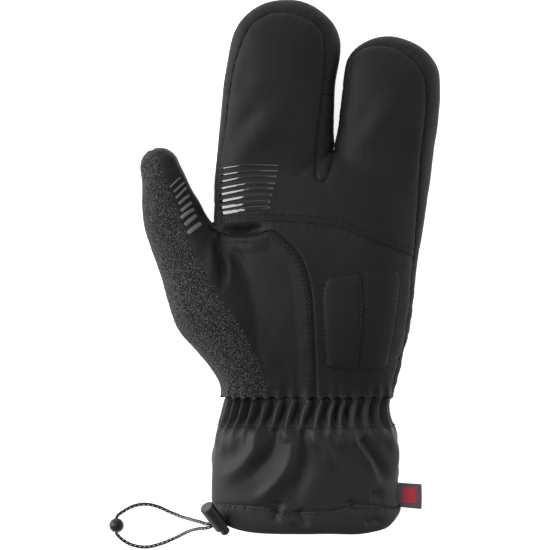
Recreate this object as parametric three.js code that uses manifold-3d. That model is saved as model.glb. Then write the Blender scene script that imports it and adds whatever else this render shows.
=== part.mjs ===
// Insulated lobster claw mitt, lying on its back with the palm up.
// Millimetres. +Y runs to the fingertips, +X to the little finger side, +Z out of the palm.
// The origin is on the flattened underside, beneath the middle of the palm.
import * as THREE from "three";
import { mergeVertices } from "three/addons/utils/BufferGeometryUtils.js";
import Module from "manifold-3d";

const wasm = await Module();
wasm.setup();

// Driving dimensions of the hand
const gap = 0.3; // clearance between neighbouring pieces
const handWall = 3; // padded wall of the hand
const palmWidth = 114.5;
const palmThick = 44;
const palmLength = 133; // wrist seam to the foot of the finger slit
const wristSeamY = -51.8;
const slitGap = 2.4; // between the two finger pods
const longPodShare = 0.535; // share of the palm's width taken by the index and middle pod
const longPodLength = 81; // slit foot to the tip
const shortPodLength = 61;
const longPodTip = 27; // length of the rounded end
const shortPodTip = 21.6;
const podThick = 34;
const podRoot = 46; // how far each pod runs down into the palm
const podCurl = 7; // rise of the fingertips towards the palm side
const underside = 1.5; // how much of the round back is pressed flat where it rests

// Driving dimensions of the thumb
const thumbReach = 134; // wrist seam to the thumb tip, along the hand
const thumbSpread = 82.4; // centre line of the hand to the thumb tip
const thumbWidth = 54; // widest, over the ball of the thumb
const thumbThick = 42;
const thumbTip = 10.8;

// Driving dimensions of the panels and their prints
const rimLeft = 4.6; // front panel's inset from the outline
const rimRight = 7.4;
const slitGussetShare = 0.37; // how far up the long pod the gusset of the slit reaches
const slitShare = 1.195; // middle of the slit there, in the long pod's half widths from its centre
const slitLean = 0.15; // how much the slit moves aside for each mm up
const padThick = 2.2;
const padGroove = 1; // depth of the sewn channel down the pad
const padGrooveWidth = 2.4;
const gripThick = 0.7;
const gripCount = 8;
const indexGripWidth = [0.7, 2.1]; // first and last bar
const thumbGripWidth = [0.9, 2.3];

// Driving dimensions of the wrist and the cuff
const clothWall = 2;
const wristWidth = 90;
const wristThick = 38;
const gatherLength = 15;
const gatherCount = 30;
const gatherDepth = 1.3;
const cuffTopWidth = 95.5;
const cuffWidth = 100.4;
const cuffShift = 0.8; // the cuff hangs a little to the thumb side
const cuffThick = 42;
const cuffLength = 44.5; // gathers to the hem's stitch line, down the middle
const foldCount = 11;
const foldDepth = 2.1;
const hemWall = 3;
const hemLength = 12.6;
const cornerLift = 8; // how much shorter the cuff is at its two sides

// Driving dimensions of the label, the cord and its fittings
const labelWidth = 9.4;
const labelLength = 13;
const labelDrop = 2.8; // how far the label reaches past the hem's stitch line
const labelThick = 1.2;
const cordThick = 1.9;
const beadSize = 8;
const beadSlack = 0.6; // room round the cord in the bead, where it turns
const barrelWall = 1.1;
const barrelFloor = 1.5; // closed end
const barrelLength = 17;
const plungerSize = 5;
const plungerShows = 4.5; // length of the plunger outside the barrel
const plungerTravel = 3;
const lockAt = new THREE.Vector3(-49, -118.3, 33.5); // middle of the cord hole
const lockHoleAt = 11.4; // from the barrel's closed end to the middle of the cord hole
const lockHeading = -54.7; // degrees, plan direction of the plunger
const lockDip = 32; // degrees, how steeply the plunger points down
const cordRoot = 6; // from the middle of the lock to where the cord goes into the hem

// Sections of the finger pods, from the tip to the root, as shares of each pod's own sizes.
// along: of the length from the tip; aside: of the half width, from the root's centre line.
const longPodRows = [
  { along: 0, aside: 0.28, wide: 0.985, thick: 0.8, rise: 1 },
  { along: 0.21, aside: 0.262, wide: 0.99, thick: 0.88, rise: 0.75 },
  { along: 0.37, aside: 0.155, wide: 0.995, thick: 0.93, rise: 0.45 },
  { along: 0.5, aside: 0.122, wide: 1.012, thick: 0.97, rise: 0.22 },
  { along: 0.64, aside: 0.085, wide: 1.03, thick: 1, rise: 0 },
  { along: 0.83, aside: 0.01, wide: 1.02, thick: 1, rise: -0.1 },
  { along: 1, aside: 0, wide: 0.93, thick: 0.9, rise: 0.1 },
];
const shortPodRows = [
  { along: 0, aside: 0.27, wide: 0.97, thick: 0.8, rise: 1 },
  { along: 0.2, aside: 0.355, wide: 0.98, thick: 0.88, rise: 0.7 },
  { along: 0.3, aside: 0.34, wide: 1.01, thick: 0.93, rise: 0.4 },
  { along: 0.41, aside: 0.3, wide: 1.02, thick: 0.97, rise: 0.2 },
  { along: 0.56, aside: 0.215, wide: 1.015, thick: 1, rise: 0 },
  { along: 0.8, aside: 0.11, wide: 0.985, thick: 1, rise: -0.1 },
  { along: 1, aside: 0, wide: 0.9, thick: 0.9, rise: 0.1 },
];
// Sections of the palm. up: of the palm's length from the wrist seam; aside and wide: of its half width.
const palmRows = [
  { up: 0.99, aside: 0.17, wide: 0.98, thick: 0.56 },
  { up: 0.9, aside: 0.148, wide: 1, thick: 0.84 },
  { up: 0.8, aside: 0.123, wide: 1, thick: 0.89 },
  { up: 0.7, aside: 0.104, wide: 0.988, thick: 0.94 },
  { up: 0.57, aside: 0.094, wide: 0.943, thick: 0.98 },
  { up: 0.44, aside: 0.094, wide: 0.906, thick: 1 },
  { up: 0.31, aside: 0.09, wide: 0.863, thick: 1 },
  { up: 0.18, aside: 0.061, wide: 0.825, thick: 0.96 },
  { up: 0.08, aside: 0.038, wide: 0.811, thick: 0.91 },
  { up: 0, aside: 0.003, wide: 0.786, thick: 0.87 },
];
// Sections of the thumb, from the tip to the heel. up: of its reach; aside: of its spread;
// lean: degrees that the section is turned; wide: of its half width; thick: of its thickness.
const thumbRows = [
  { up: 1, aside: 1, lean: 10, wide: 0.38, thick: 0.6 },
  { up: 0.919, aside: 0.974, lean: 14, wide: 0.38, thick: 0.66 },
  { up: 0.878, aside: 0.954, lean: 16, wide: 0.42, thick: 0.7 },
  { up: 0.806, aside: 0.931, lean: 20, wide: 0.504, thick: 0.74 },
  { up: 0.734, aside: 0.895, lean: 24, wide: 0.59, thick: 0.79 },
  { up: 0.657, aside: 0.843, lean: 28, wide: 0.636, thick: 0.83 },
  { up: 0.569, aside: 0.761, lean: 32, wide: 0.74, thick: 0.88 },
  { up: 0.484, aside: 0.675, lean: 36, wide: 0.9, thick: 0.95 },
  { up: 0.387, aside: 0.584, lean: 38, wide: 1, thick: 1 },
  { up: 0.286, aside: 0.498, lean: 36, wide: 0.87, thick: 1 },
  { up: 0.185, aside: 0.446, lean: 28, wide: 0.68, thick: 0.97 },
  { up: 0.073, aside: 0.38, lean: 14, wide: 0.6, thick: 0.93 },
  { up: -0.03, aside: 0.354, lean: 4, wide: 0.58, thick: 0.9 },
];
// Seams on the palm side. across: of the palm's half width; up: of its length from the wrist seam.
const fingerSeam = [
  { across: -0.82, up: 0.7 },
  { across: -0.35, up: 0.71 },
  { across: 0, up: 0.704 },
  { across: 0.19, up: 0.692 },
  { across: 0.35, up: 0.677 },
  { across: 0.52, up: 0.648 },
  { across: 0.69, up: 0.618 },
  { across: 0.88, up: 0.59 },
];
// The thumb seam runs from the thumb's crotch along a deep fold, then round the ball of the thumb.
const thumbSeam = [
  { across: -0.78, up: 0.66 },
  { across: -0.59, up: 0.652 },
  { across: -0.46, up: 0.66 },
  { across: -0.38, up: 0.67 },
  { across: -0.3, up: 0.664 },
  { across: -0.23, up: 0.642 },
  { across: -0.13, up: 0.603 },
  { across: -0.05, up: 0.554 },
  { across: 0.005, up: 0.485 },
  { across: 0.04, up: 0.41 },
  { across: 0.057, up: 0.31 },
  { across: 0.07, up: 0.2 },
  { across: 0.08, up: 0.05 },
  { across: 0.085, up: -0.05 },
];
// Edge of the thumb's wipe. across: of the thumb's spread; up: of its reach.
const wipeSeam = [
  { across: -1.035, up: 1.032 },
  { across: -1.011, up: 0.983 },
  { across: -0.945, up: 0.893 },
  { across: -0.903, up: 0.839 },
  { across: -0.834, up: 0.725 },
  { across: -0.785, up: 0.645 },
  { across: -0.73, up: 0.566 },
  { across: -0.625, up: 0.447 },
  { across: -0.445, up: 0.295 },
  { across: -0.313, up: 0.129 },
  { across: -0.264, up: 0.03 },
  { across: -0.25, up: -0.05 },
];
// Outline of the quilted pad, clockwise from its top left corner, in the same shares.
const padOutline = [
  { across: 0.2, up: 0.488 },
  { across: 0.39, up: 0.503 },
  { across: 0.57, up: 0.517 },
  { across: 0.78, up: 0.522 },
  { across: 0.835, up: 0.51 },
  { across: 0.86, up: 0.46 },
  { across: 0.83, up: 0.337 },
  { across: 0.79, up: 0.21 },
  { across: 0.74, up: 0.11 },
  { across: 0.57, up: 0.097 },
  { across: 0.39, up: 0.097 },
  { across: 0.165, up: 0.11 },
  { across: 0.15, up: 0.31 },
];
const padGrooveLine = [
  { across: 0.5, up: 0.55 },
  { across: 0.51, up: 0.36 },
  { across: 0.5, up: 0.26 },
  { across: 0.45, up: 0.07 },
];

// The loose loop of cord, chosen by hand: out of the lock, round through the bead and back.
const cordOut = [
  [-60.5, -120.2, 26.4],
  [-66.5, -117.6, 14.5],
  [-71.5, -115.3, 4.6],
  [-79, -112.9, 1.3],
  [-87, -111.3, 1.2],
  [-95, -112.3, 1.5],
  [-101, -115.2, 3.2],
];
const cordBack = [
  [-101.6, -128.2, 3.2],
  [-97, -130.7, 1.6],
  [-88, -132.6, 1.2],
  [-79, -131.3, 1.2],
  [-71.5, -129, 3.4],
  [-65.5, -127.2, 12.5],
  [-60.2, -125.4, 24],
];
const beadAt = new THREE.Vector3(-103.3, -121.7, beadSize / 2);

// Mesh detail
const podSides = 18;
const palmSides = 22;
const thumbSides = 16;
const liningSides = 0.68; // share of those sides on the inner face
const gatherSides = 4; // points to a gather
const foldSides = 5; // points to a fold
const roundness = 2.35; // exponent of the hand's sections, 2 is an ellipse
const cuffRoundness = 2.25;

// Finishes
const shellCloth = new THREE.MeshStandardMaterial({ color: 0x26262a, roughness: 0.75, metalness: 0 });
const terryCloth = new THREE.MeshStandardMaterial({ color: 0x55555a, roughness: 1, metalness: 0 });
const silicone = new THREE.MeshStandardMaterial({ color: 0x141416, roughness: 0.25, metalness: 0 });
const greySilicone = new THREE.MeshStandardMaterial({ color: 0x555755, roughness: 0.5, metalness: 0 });
const wovenLabel = new THREE.MeshStandardMaterial({ color: 0x3c3640, roughness: 0.8, metalness: 0 });
const braid = new THREE.MeshStandardMaterial({ color: 0x1c1c1e, roughness: 0.85, metalness: 0 });
const mouldedPlastic = new THREE.MeshStandardMaterial({ color: 0x19191b, roughness: 0.35, metalness: 0 });

const radians = (degrees) => (degrees * Math.PI) / 180;
const mix = (from, to, share) => from + (to - from) * share;

// One row of a table at a place between its rows.
function rowAt(rows, key, place) {
  const falling = rows[0][key] > rows[rows.length - 1][key];
  let next = rows.findIndex((row) => (falling ? row[key] <= place : row[key] >= place));
  if (next === -1) next = rows.length - 1;
  if (next === 0) next = 1;
  const before = rows[next - 1];
  const after = rows[next];
  const share = (place - before[key]) / (after[key] - before[key]);
  return Object.fromEntries(Object.keys(before).map((name) => [name, mix(before[name], after[name], share)]));
}

// The two finger pods fill the width of the palm, apart from the slit.
const palmHalf = palmWidth / 2;
const palmRootAside = rowAt(palmRows, "up", 0.8).aside * palmHalf;
const longHalf = ((palmWidth - slitGap) * longPodShare) / 2;
const shortHalf = ((palmWidth - slitGap) * (1 - longPodShare)) / 2;
const slitY = wristSeamY + palmLength;
const longPod = {
  rows: longPodRows,
  half: longHalf,
  centre: palmRootAside - palmHalf + longHalf,
  tipY: slitY + longPodLength,
  reach: longPodLength + podRoot,
  tip: longPodTip,
};
const shortPod = {
  rows: shortPodRows,
  half: shortHalf,
  centre: palmRootAside + palmHalf - shortHalf * 1.08,
  tipY: slitY + shortPodLength,
  reach: shortPodLength + podRoot,
  tip: shortPodTip,
};

// A section across a limb: a superellipse, pressed flat where it would pass the underside.
function sectionPoints(station, sides, inset, power) {
  const turn = radians(station.lean || 0);
  const points = [];
  for (let i = 0; i < sides; i += 1) {
    const angle = (2 * Math.PI * i) / sides;
    const c = Math.cos(angle);
    const s = Math.sin(angle);
    const across = Math.sign(c) * Math.abs(c) ** (2 / power) * station.halfWide;
    const height = station.z + Math.sign(s) * Math.abs(s) ** (2 / power) * station.halfThick;
    points.push(
      new THREE.Vector3(
        station.x + across * Math.cos(turn),
        station.y + across * Math.sin(turn),
        Math.max(height, inset),
      ),
    );
  }
  return points;
}

// A closed geometry through rings of points, closed by a fan at each end.
function loft(rings) {
  const sides = rings[0].length;
  const positions = rings.flat();
  const index = [];
  for (let r = 0; r + 1 < rings.length; r += 1) {
    for (let i = 0; i < sides; i += 1) {
      const a = r * sides + i;
      const b = r * sides + ((i + 1) % sides);
      index.push(a, b, a + sides, b, b + sides, a + sides);
    }
  }
  const first = positions.length;
  for (const ring of [rings[0], rings[rings.length - 1]]) {
    const middle = ring.reduce((sum, p) => sum.add(p), new THREE.Vector3()).divideScalar(sides);
    positions.push(middle);
  }
  const last = (rings.length - 1) * sides;
  for (let i = 0; i < sides; i += 1) {
    const j = (i + 1) % sides;
    index.push(first, j, i, first + 1, last + i, last + j);
  }
  const geometry = new THREE.BufferGeometry().setFromPoints(positions);
  geometry.setIndex(index);
  return geometry;
}

// A closed geometry between an outer and an inner run of rings, open through the middle.
function sleeve(outer, inner) {
  const sides = outer[0].length;
  if (outer.length !== inner.length) throw new Error("a sleeve needs as many inner rings as outer ones");
  const loop = [...outer, ...[...inner].reverse()];
  const index = [];
  for (let r = 0; r < loop.length; r += 1) {
    const here = r * sides;
    const next = ((r + 1) % loop.length) * sides;
    for (let i = 0; i < sides; i += 1) {
      const j = (i + 1) % sides;
      index.push(here + i, here + j, next + i, here + j, next + j, next + i);
    }
  }
  const geometry = new THREE.BufferGeometry().setFromPoints(loop.flat());
  geometry.setIndex(index);
  return geometry;
}

// A closed geometry as a solid for joining and cutting, turned to face outwards.
function solid(geometry) {
  const bare = geometry.clone();
  bare.deleteAttribute("normal");
  bare.deleteAttribute("uv");
  const merged = mergeVertices(bare, 1e-4);
  const triVerts = new Uint32Array(merged.index.array);
  const vertProperties = merged.attributes.position.array;
  const made = new wasm.Manifold(new wasm.Mesh({ numProp: 3, vertProperties, triVerts }));
  if (made.volume() > 0) return made;
  for (let i = 0; i < triVerts.length; i += 3) {
    [triVerts[i + 1], triVerts[i + 2]] = [triVerts[i + 2], triVerts[i + 1]];
  }
  return new wasm.Manifold(new wasm.Mesh({ numProp: 3, vertProperties, triVerts }));
}

// The main body of a cut piece, without the specks that a cut can leave along an edge it only touches.
function mainBody(made) {
  return made.decompose().reduce((best, body) => (body.volume() > best.volume() ? body : best));
}

function geometryOf(made) {
  const mesh = mainBody(made).getMesh();
  const geometry = new THREE.BufferGeometry();
  geometry.setAttribute("position", new THREE.BufferAttribute(new Float32Array(mesh.vertProperties), 3));
  geometry.setIndex(new THREE.BufferAttribute(new Uint32Array(mesh.triVerts), 1));
  geometry.computeVertexNormals();
  return geometry;
}

// Distances from a limb's tip at which it gets a section: close together round the end.
function stationsFromTip(tip, reach, tipSteps, bodySteps) {
  const places = [];
  for (let i = 0; i < tipSteps; i += 1) {
    places.push(tip * (1 - Math.cos(radians(mix(14, 90, i / (tipSteps - 1))))));
  }
  for (let i = 1; i <= bodySteps; i += 1) places.push(mix(tip, reach, i / bodySteps));
  return places;
}

// How full a section is at a distance from a rounded tip.
const tipFullness = (distance, tip) => Math.sqrt(1 - Math.max(0, 1 - distance / tip) ** 2);

function podStation(pod, distance, inset) {
  const row = rowAt(pod.rows, "along", (distance + inset) / pod.reach);
  const full = tipFullness(distance, pod.tip - inset);
  const halfThick = (row.thick * podThick) / 2;
  return {
    x: pod.centre + row.aside * pod.half,
    y: pod.tipY - inset - distance,
    z: halfThick + row.rise * podCurl,
    halfWide: (row.wide * pod.half - inset) * full,
    halfThick: (halfThick - inset) * full,
  };
}

// The inner face of a padded wall needs fewer sides than the outer one.
const sidesFor = (sides, inset) => (inset > 0 ? 2 * Math.round((sides * liningSides) / 2) : sides);

function podLoft(pod, inset) {
  const inner = inset > 0;
  const places = stationsFromTip(pod.tip - inset, pod.reach - inset, inner ? 4 : 5, inner ? 4 : 5);
  const sides = sidesFor(podSides, inset);
  return solid(loft(places.map((d) => sectionPoints(podStation(pod, d, inset), sides, inset, roundness))));
}

function palmStation(row, inset) {
  const halfThick = (row.thick * palmThick) / 2;
  return {
    x: row.aside * palmHalf,
    y: wristSeamY + row.up * palmLength,
    z: halfThick - underside,
    halfWide: row.wide * palmHalf - inset,
    halfThick: halfThick - inset,
  };
}

function palmLoft(inset) {
  const stations = palmRows.map((row) => palmStation(row, inset));
  stations[0].y -= inset;
  const mouth = { ...stations[stations.length - 1] };
  mouth.y -= handWall * 3;
  stations.push(mouth);
  const sides = sidesFor(palmSides, inset);
  return solid(loft(stations.map((station) => sectionPoints(station, sides, inset, roundness))));
}

function thumbStation(row, inset) {
  const halfThick = (row.thick * thumbThick) / 2;
  return {
    x: -row.aside * thumbSpread,
    y: wristSeamY + row.up * thumbReach,
    z: halfThick - underside * (1 - row.up),
    lean: row.lean,
    halfWide: (row.wide * thumbWidth) / 2 - inset,
    halfThick: halfThick - inset,
  };
}

function thumbLoft(inset) {
  const tipLean = radians(thumbRows[0].lean);
  const stations = [];
  for (let i = 0; i < 5; i += 1) {
    const distance = (thumbTip - inset) * (1 - Math.cos(radians(mix(16, 90, i / 5))));
    const full = tipFullness(distance, thumbTip - inset);
    const back = distance + inset;
    const row = { ...thumbRows[0], up: 1 - (back * Math.cos(tipLean)) / thumbReach };
    row.aside = 1 - (back * Math.sin(tipLean)) / thumbSpread;
    const station = thumbStation(row, inset);
    station.halfWide *= full;
    station.halfThick *= full;
    stations.push(station);
  }
  stations.push(...thumbRows.slice(1).map((row) => thumbStation(row, inset)));
  const sides = sidesFor(thumbSides, inset);
  return solid(loft(stations.map((station) => sectionPoints(station, sides, inset, roundness))));
}

// The whole outside of the hand, grown or shrunk by an inset from its surface.
function handForm(inset) {
  const whole = podLoft(longPod, inset).add(podLoft(shortPod, inset)).add(palmLoft(inset));
  return whole.add(thumbLoft(inset));
}

// A straight-sided cutter standing on a plan outline.
function prism(outline, low, high) {
  const shape = new THREE.Shape(outline);
  const geometry = new THREE.ExtrudeGeometry(shape, { depth: high - low, bevelEnabled: false });
  return solid(geometry.translate(0, 0, low));
}

// A thin wall standing on a line in plan, which parts two panels.
function ribbon(line, low, high, width) {
  const sides = [[], []];
  line.forEach((point, i) => {
    const before = line[Math.max(i - 1, 0)];
    const after = line[Math.min(i + 1, line.length - 1)];
    const inward = point.clone().sub(before).normalize();
    const outward = after.clone().sub(point).normalize();
    const run = inward.clone().add(outward).normalize();
    const straight = i === 0 ? outward : inward;
    const stretch = Math.min(1.6, 1 / Math.max(0.2, run.dot(straight)));
    const offset = new THREE.Vector2(-run.y, run.x).multiplyScalar((width / 2) * stretch);
    sides[0].push(point.clone().add(offset));
    sides[1].push(point.clone().sub(offset));
  });
  return prism([...sides[0], ...sides[1].reverse()], low, high);
}

const seamPoint = (row) =>
  new THREE.Vector2(row.across * palmHalf, wristSeamY + row.up * palmLength);
const thumbPoint = (row) =>
  new THREE.Vector2(row.across * thumbSpread, wristSeamY + row.up * thumbReach);

// The outline of a pod in plan, inset from its silhouette, at a distance from the tip.
function podEdge(pod, side, distance, inset) {
  const station = podStation(pod, distance, inset);
  return new THREE.Vector2(station.x + side * station.halfWide, station.y);
}

// The front panel's edge round a pod, from its left side over the tip to its right side.
function podOutline(pod, leftEnd, rightEnd) {
  const tipSteps = 5;
  const sideSteps = 4;
  const side = (which, inset, end) => {
    const points = [];
    const tip = pod.tip - inset;
    for (let i = 0; i < tipSteps; i += 1) {
      const angle = radians(mix(12, 90, i / (tipSteps - 1)));
      points.push(podEdge(pod, which, tip * (1 - Math.cos(angle)), inset));
    }
    for (let i = 1; i <= sideSteps; i += 1) {
      points.push(podEdge(pod, which, mix(tip, pod.tipY - inset - end, i / sideSteps), inset));
    }
    return points;
  };
  return [...side(-1, rimLeft, leftEnd).reverse(), ...side(1, rimRight, rightEnd)];
}

// Seams in plan
const wedgeFoot = seamPoint({ across: 0.135, up: 0.878 });
const wedgeTop = slitY + 14;
const fingerLine = fingerSeam.map(seamPoint);
const wipeLine = wipeSeam.map(thumbPoint);
const leftSeamEnd = fingerLine[0];
const rightSeamEnd = fingerLine[fingerLine.length - 1];
const longOutline = podOutline(longPod, leftSeamEnd.y + 12, wedgeTop);
const shortOutline = podOutline(shortPod, wedgeTop, rightSeamEnd.y + 30);
const fingerEdge = [leftSeamEnd, ...longOutline, wedgeFoot, ...shortOutline, rightSeamEnd];
const palmSide = palmRows
  .filter((row) => row.up < 0.55)
  .map((row) => {
    const station = palmStation(row, rimLeft);
    return new THREE.Vector2(station.x + station.halfWide, station.y);
  });
const heelFoot = palmSide[palmSide.length - 1].clone().setY(wristSeamY - handWall * 3);
const heelEdge = [rightSeamEnd, ...palmSide, heelFoot];
const crotch = new THREE.Vector2(palmStation(palmRows[3], 0).x - palmHalf * palmRows[3].wide, 0);
crotch.y = wristSeamY + palmLength * 0.69;
const webTop = new THREE.Vector2(crotch.x - 2, crotch.y + 9);
const webLine = [webTop, crotch, leftSeamEnd];
const thumbLine = [crotch, ...thumbSeam.map(seamPoint)];

// The panels' edges stand between these heights: seams on the palm side cut only the upper half.
const tall = palmThick * 2;
const deep = -palmThick / 4;
const splitZ = palmThick * 0.42;
const thumbSplitZ = thumbThick * 0.36;
const gussetZ = palmThick * 0.25; // the back panel lies below this, the side gussets above
const besideThumb = new THREE.Vector2(crotch.x - thumbTip * 0.4, wipeLine[0].y);
const outsideX = -thumbSpread * 1.6;
const belowSeamY = wristSeamY - handWall * 3;
const fingerArea = [...fingerEdge, ...fingerLine.slice(1, -1).reverse()];
const heelArea = [...[...fingerLine].reverse(), ...thumbLine, ...[...heelEdge].reverse().slice(0, -1)];
const thumbArea = [...wipeLine, ...[...thumbLine].reverse(), webTop, besideThumb];
const wipeArea = [
  ...wipeLine,
  new THREE.Vector2(outsideX, belowSeamY),
  new THREE.Vector2(outsideX, slitY * 2),
];

function buildHand() {
  const outside = handForm(0);
  const shell = outside.subtract(handForm(handWall));
  const mouth = new THREE.BoxGeometry(palmWidth * 4, palmLength, palmThick * 4);
  let cut = shell.subtract(solid(mouth.translate(0, wristSeamY - palmLength / 2, 0)));
  const kerfs = [
    ribbon(fingerEdge, splitZ, tall, gap),
    ribbon(fingerLine, splitZ, tall, gap),
    ribbon(heelEdge, splitZ, tall, gap),
    ribbon(thumbLine, splitZ, tall, gap),
    ribbon(webLine, gussetZ - gap / 2, tall, gap),
    ribbon(wipeLine, deep, tall, gap),
    prism(thumbArea, thumbSplitZ - gap / 2, thumbSplitZ + gap / 2),
  ];
  for (const kerf of kerfs) cut = cut.subtract(kerf);
  const areas = {
    finger_palm_panel: prism(fingerArea, splitZ, tall),
    heel_palm_panel: prism(heelArea, splitZ, tall),
    thumb_panel: prism(thumbArea, thumbSplitZ, tall),
    thumb_wipe: prism(wipeArea, deep, tall),
  };
  const panels = {};
  let rest = cut;
  for (const [name, area] of Object.entries(areas)) {
    panels[name] = cut.intersect(area);
    rest = rest.subtract(area);
  }
  return { ...panels, ...buildBack(rest) };
}

function block(low, high) {
  const size = new THREE.Vector3().subVectors(high, low);
  const middle = new THREE.Vector3().addVectors(low, high).divideScalar(2);
  return solid(new THREE.BoxGeometry(size.x, size.y, size.z).translate(middle.x, middle.y, middle.z));
}

// The back panel, and the gussets that stand on its edge: one round each pod and one in the slit.
function buildBack(rest) {
  const wide = palmWidth * 2;
  const thumbSide = prism(thumbArea, deep, tall).add(prism(wipeArea, deep, tall));
  const slab = (low, high) =>
    block(new THREE.Vector3(-wide, -wide, low), new THREE.Vector3(wide, wide, high)).subtract(thumbSide);
  const upper = rest.intersect(slab(gussetZ + gap / 2, tall));
  const back = rest.subtract(slab(gussetZ - gap / 2, tall));
  const joinY = slitY + longPodLength * slitGussetShare;
  const slitBox = (grown) =>
    block(
      new THREE.Vector3(longPod.centre - grown, -wide, deep),
      new THREE.Vector3(shortPod.centre + grown, joinY + grown, tall),
    );
  const slitGusset = upper.intersect(slitBox(-gap / 2));
  const podGussets = upper.subtract(slitBox(gap / 2));
  // the split between the pods leans with the slit, which widens towards the tips
  const splitX = longPod.centre + longPod.half * slitShare;
  const splitLine = [
    new THREE.Vector2(-wide, -wide),
    new THREE.Vector2(splitX, -wide),
    new THREE.Vector2(splitX, joinY),
    new THREE.Vector2(splitX + (wide - joinY) * slitLean, wide),
    new THREE.Vector2(-wide, wide),
  ];
  const longSide = prism(splitLine, deep, tall);
  return {
    back_panel: back,
    long_pod_gusset: podGussets.intersect(longSide),
    slit_gusset: slitGusset,
    short_pod_gusset: podGussets.subtract(longSide),
  };
}

// A skin of one thickness that lies on the whole hand, to be cut to a plan outline.
const skin = (thickness) => handForm(-gap - thickness).subtract(handForm(-gap));

function buildPad() {
  const pad = skin(padThick).intersect(prism(padOutline.map(seamPoint), splitZ, tall));
  const groove = ribbon(padGrooveLine.map(seamPoint), splitZ, tall, padGrooveWidth);
  return pad.subtract(groove.subtract(handForm(-gap - padThick + padGroove)));
}

// Bars printed across the pod or the thumb, each along the line that its share of the way gives.
function gripBars(printed, lineAt, widths) {
  return Array.from({ length: gripCount }, (_, i) => {
    const share = gripCount > 1 ? i / (gripCount - 1) : 0;
    return printed.intersect(ribbon(lineAt(share), thumbSplitZ + gripThick, tall, mix(...widths, share)));
  });
}

// Bars across the index side of the long pod, a little bowed towards the fingertips.
const indexBar = (share) => {
  const up = mix(0.925, 0.745, share);
  const left = mix(-0.865, -0.835, share);
  const right = mix(-0.27, -0.345, share);
  const bow = 0.012;
  return [0, 0.5, 1].map((t) =>
    seamPoint({ across: mix(left, right, t), up: up + bow * 4 * t * (1 - t) }),
  );
};

// Bars across the thumb's inner side, slanted with it.
const thumbBar = (share) => {
  const left = thumbPoint({ across: mix(-0.893, -0.778, share), up: mix(0.839, 0.657, share) });
  const right = thumbPoint({ across: mix(-0.834, -0.698, share), up: mix(0.881, 0.7, share) });
  return [left, left.clone().lerp(right, 0.5), right];
};

// A ring of the wrist or cuff, with its ripples, at one place along it.
function cuffRing(ring, sides, inset) {
  const points = [];
  for (let i = 0; i < sides; i += 1) {
    const angle = (2 * Math.PI * i) / sides;
    const c = Math.cos(angle);
    const s = Math.sin(angle);
    const ripple = ring.ripple(angle) - inset;
    const across = Math.sign(c) * Math.abs(c) ** (2 / cuffRoundness) * (ring.halfWide + ripple);
    const height = ring.z + Math.sign(s) * Math.abs(s) ** (2 / cuffRoundness) * (ring.halfThick + ripple);
    points.push(new THREE.Vector3(ring.x + across, ring.y(angle), Math.max(height, inset)));
  }
  return points;
}

function cuffSleeve(rings, sides) {
  return sleeve(
    rings.map((ring) => cuffRing(ring, sides, 0)),
    rings.map((ring) => cuffRing(ring, sides, ring.wall)),
  );
}

const cuffX = 0.003 * palmHalf;
const gatherTopY = wristSeamY - gap;
const cuffTopY = gatherTopY - gatherLength - gap;
const gather = (share) => (angle) => gatherDepth * share * Math.cos(gatherCount * angle);

// Folds of the cuff: full below the gathers, softer and drawn round towards the hem.
const folds = (down) => (angle) =>
  foldDepth * (1 - 0.55 * down) * Math.cos(foldCount * angle + 1.1 * Math.sin(angle) + 1.3 * down) *
  (0.75 + 0.25 * Math.cos(3 * angle + 0.8));

function wristRings() {
  const rows = [
    { down: 0, swell: 0, ripple: 0 },
    { down: 0.5, swell: 0.3, ripple: 1 },
    { down: 1, swell: 1, ripple: 0.3 },
  ];
  return rows.map((row) => ({
    x: cuffX,
    y: () => gatherTopY - row.down * gatherLength,
    z: wristThick / 2 - underside,
    halfWide: mix(wristWidth, mix(wristWidth, cuffTopWidth, 0.55), row.swell) / 2,
    halfThick: wristThick / 2,
    ripple: gather(row.ripple),
    wall: clothWall,
  }));
}

const sideDip = (angle) => Math.abs(Math.cos(angle)) ** 4.5;
const hemLineY = (angle) => cuffTopY - cuffLength + sideDip(angle) * cornerLift * 0.35;
const hemEndY = (angle) => hemLineY(angle) - gap - hemLength + sideDip(angle) * cornerLift;

// The cuff widens fast below the gathers and slowly after that.
const flare = (down) => Math.min(1, down * 3) * 0.55 + down * 0.45;

function cuffRings() {
  const rows = [0, 0.18, 0.45, 0.75, 1];
  return rows.map((down) => ({
    x: cuffX - cuffShift * down,
    y: (angle) => mix(cuffTopY, hemLineY(angle), down),
    z: mix(wristThick, cuffThick, Math.min(1, down * 2.2)) / 2 - underside,
    halfWide: mix(mix(wristWidth, cuffTopWidth, 0.75), cuffWidth, flare(down)) / 2,
    halfThick: mix(wristThick, cuffThick, Math.min(1, down * 2.2)) / 2 - 1.2 * down,
    ripple: folds(down),
    wall: clothWall,
  }));
}

function hemRings() {
  const rows = [
    { down: 0, swell: 0 },
    { down: 0.3, swell: 0.8 },
    { down: 0.8, swell: 0.5 },
    { down: 1, swell: -0.8 },
  ];
  return rows.map((row) => ({
    x: cuffX - cuffShift,
    y: (angle) => mix(hemLineY(angle) - gap, hemEndY(angle), row.down),
    z: cuffThick / 2 - underside,
    halfWide: cuffWidth / 2 + row.swell - row.down,
    halfThick: cuffThick / 2 - 1.2 + row.swell - row.down * 0.8,
    ripple: (angle) => folds(1)(angle) * (1 - 0.3 * row.down),
    wall: hemWall + row.swell,
  }));
}

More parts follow.
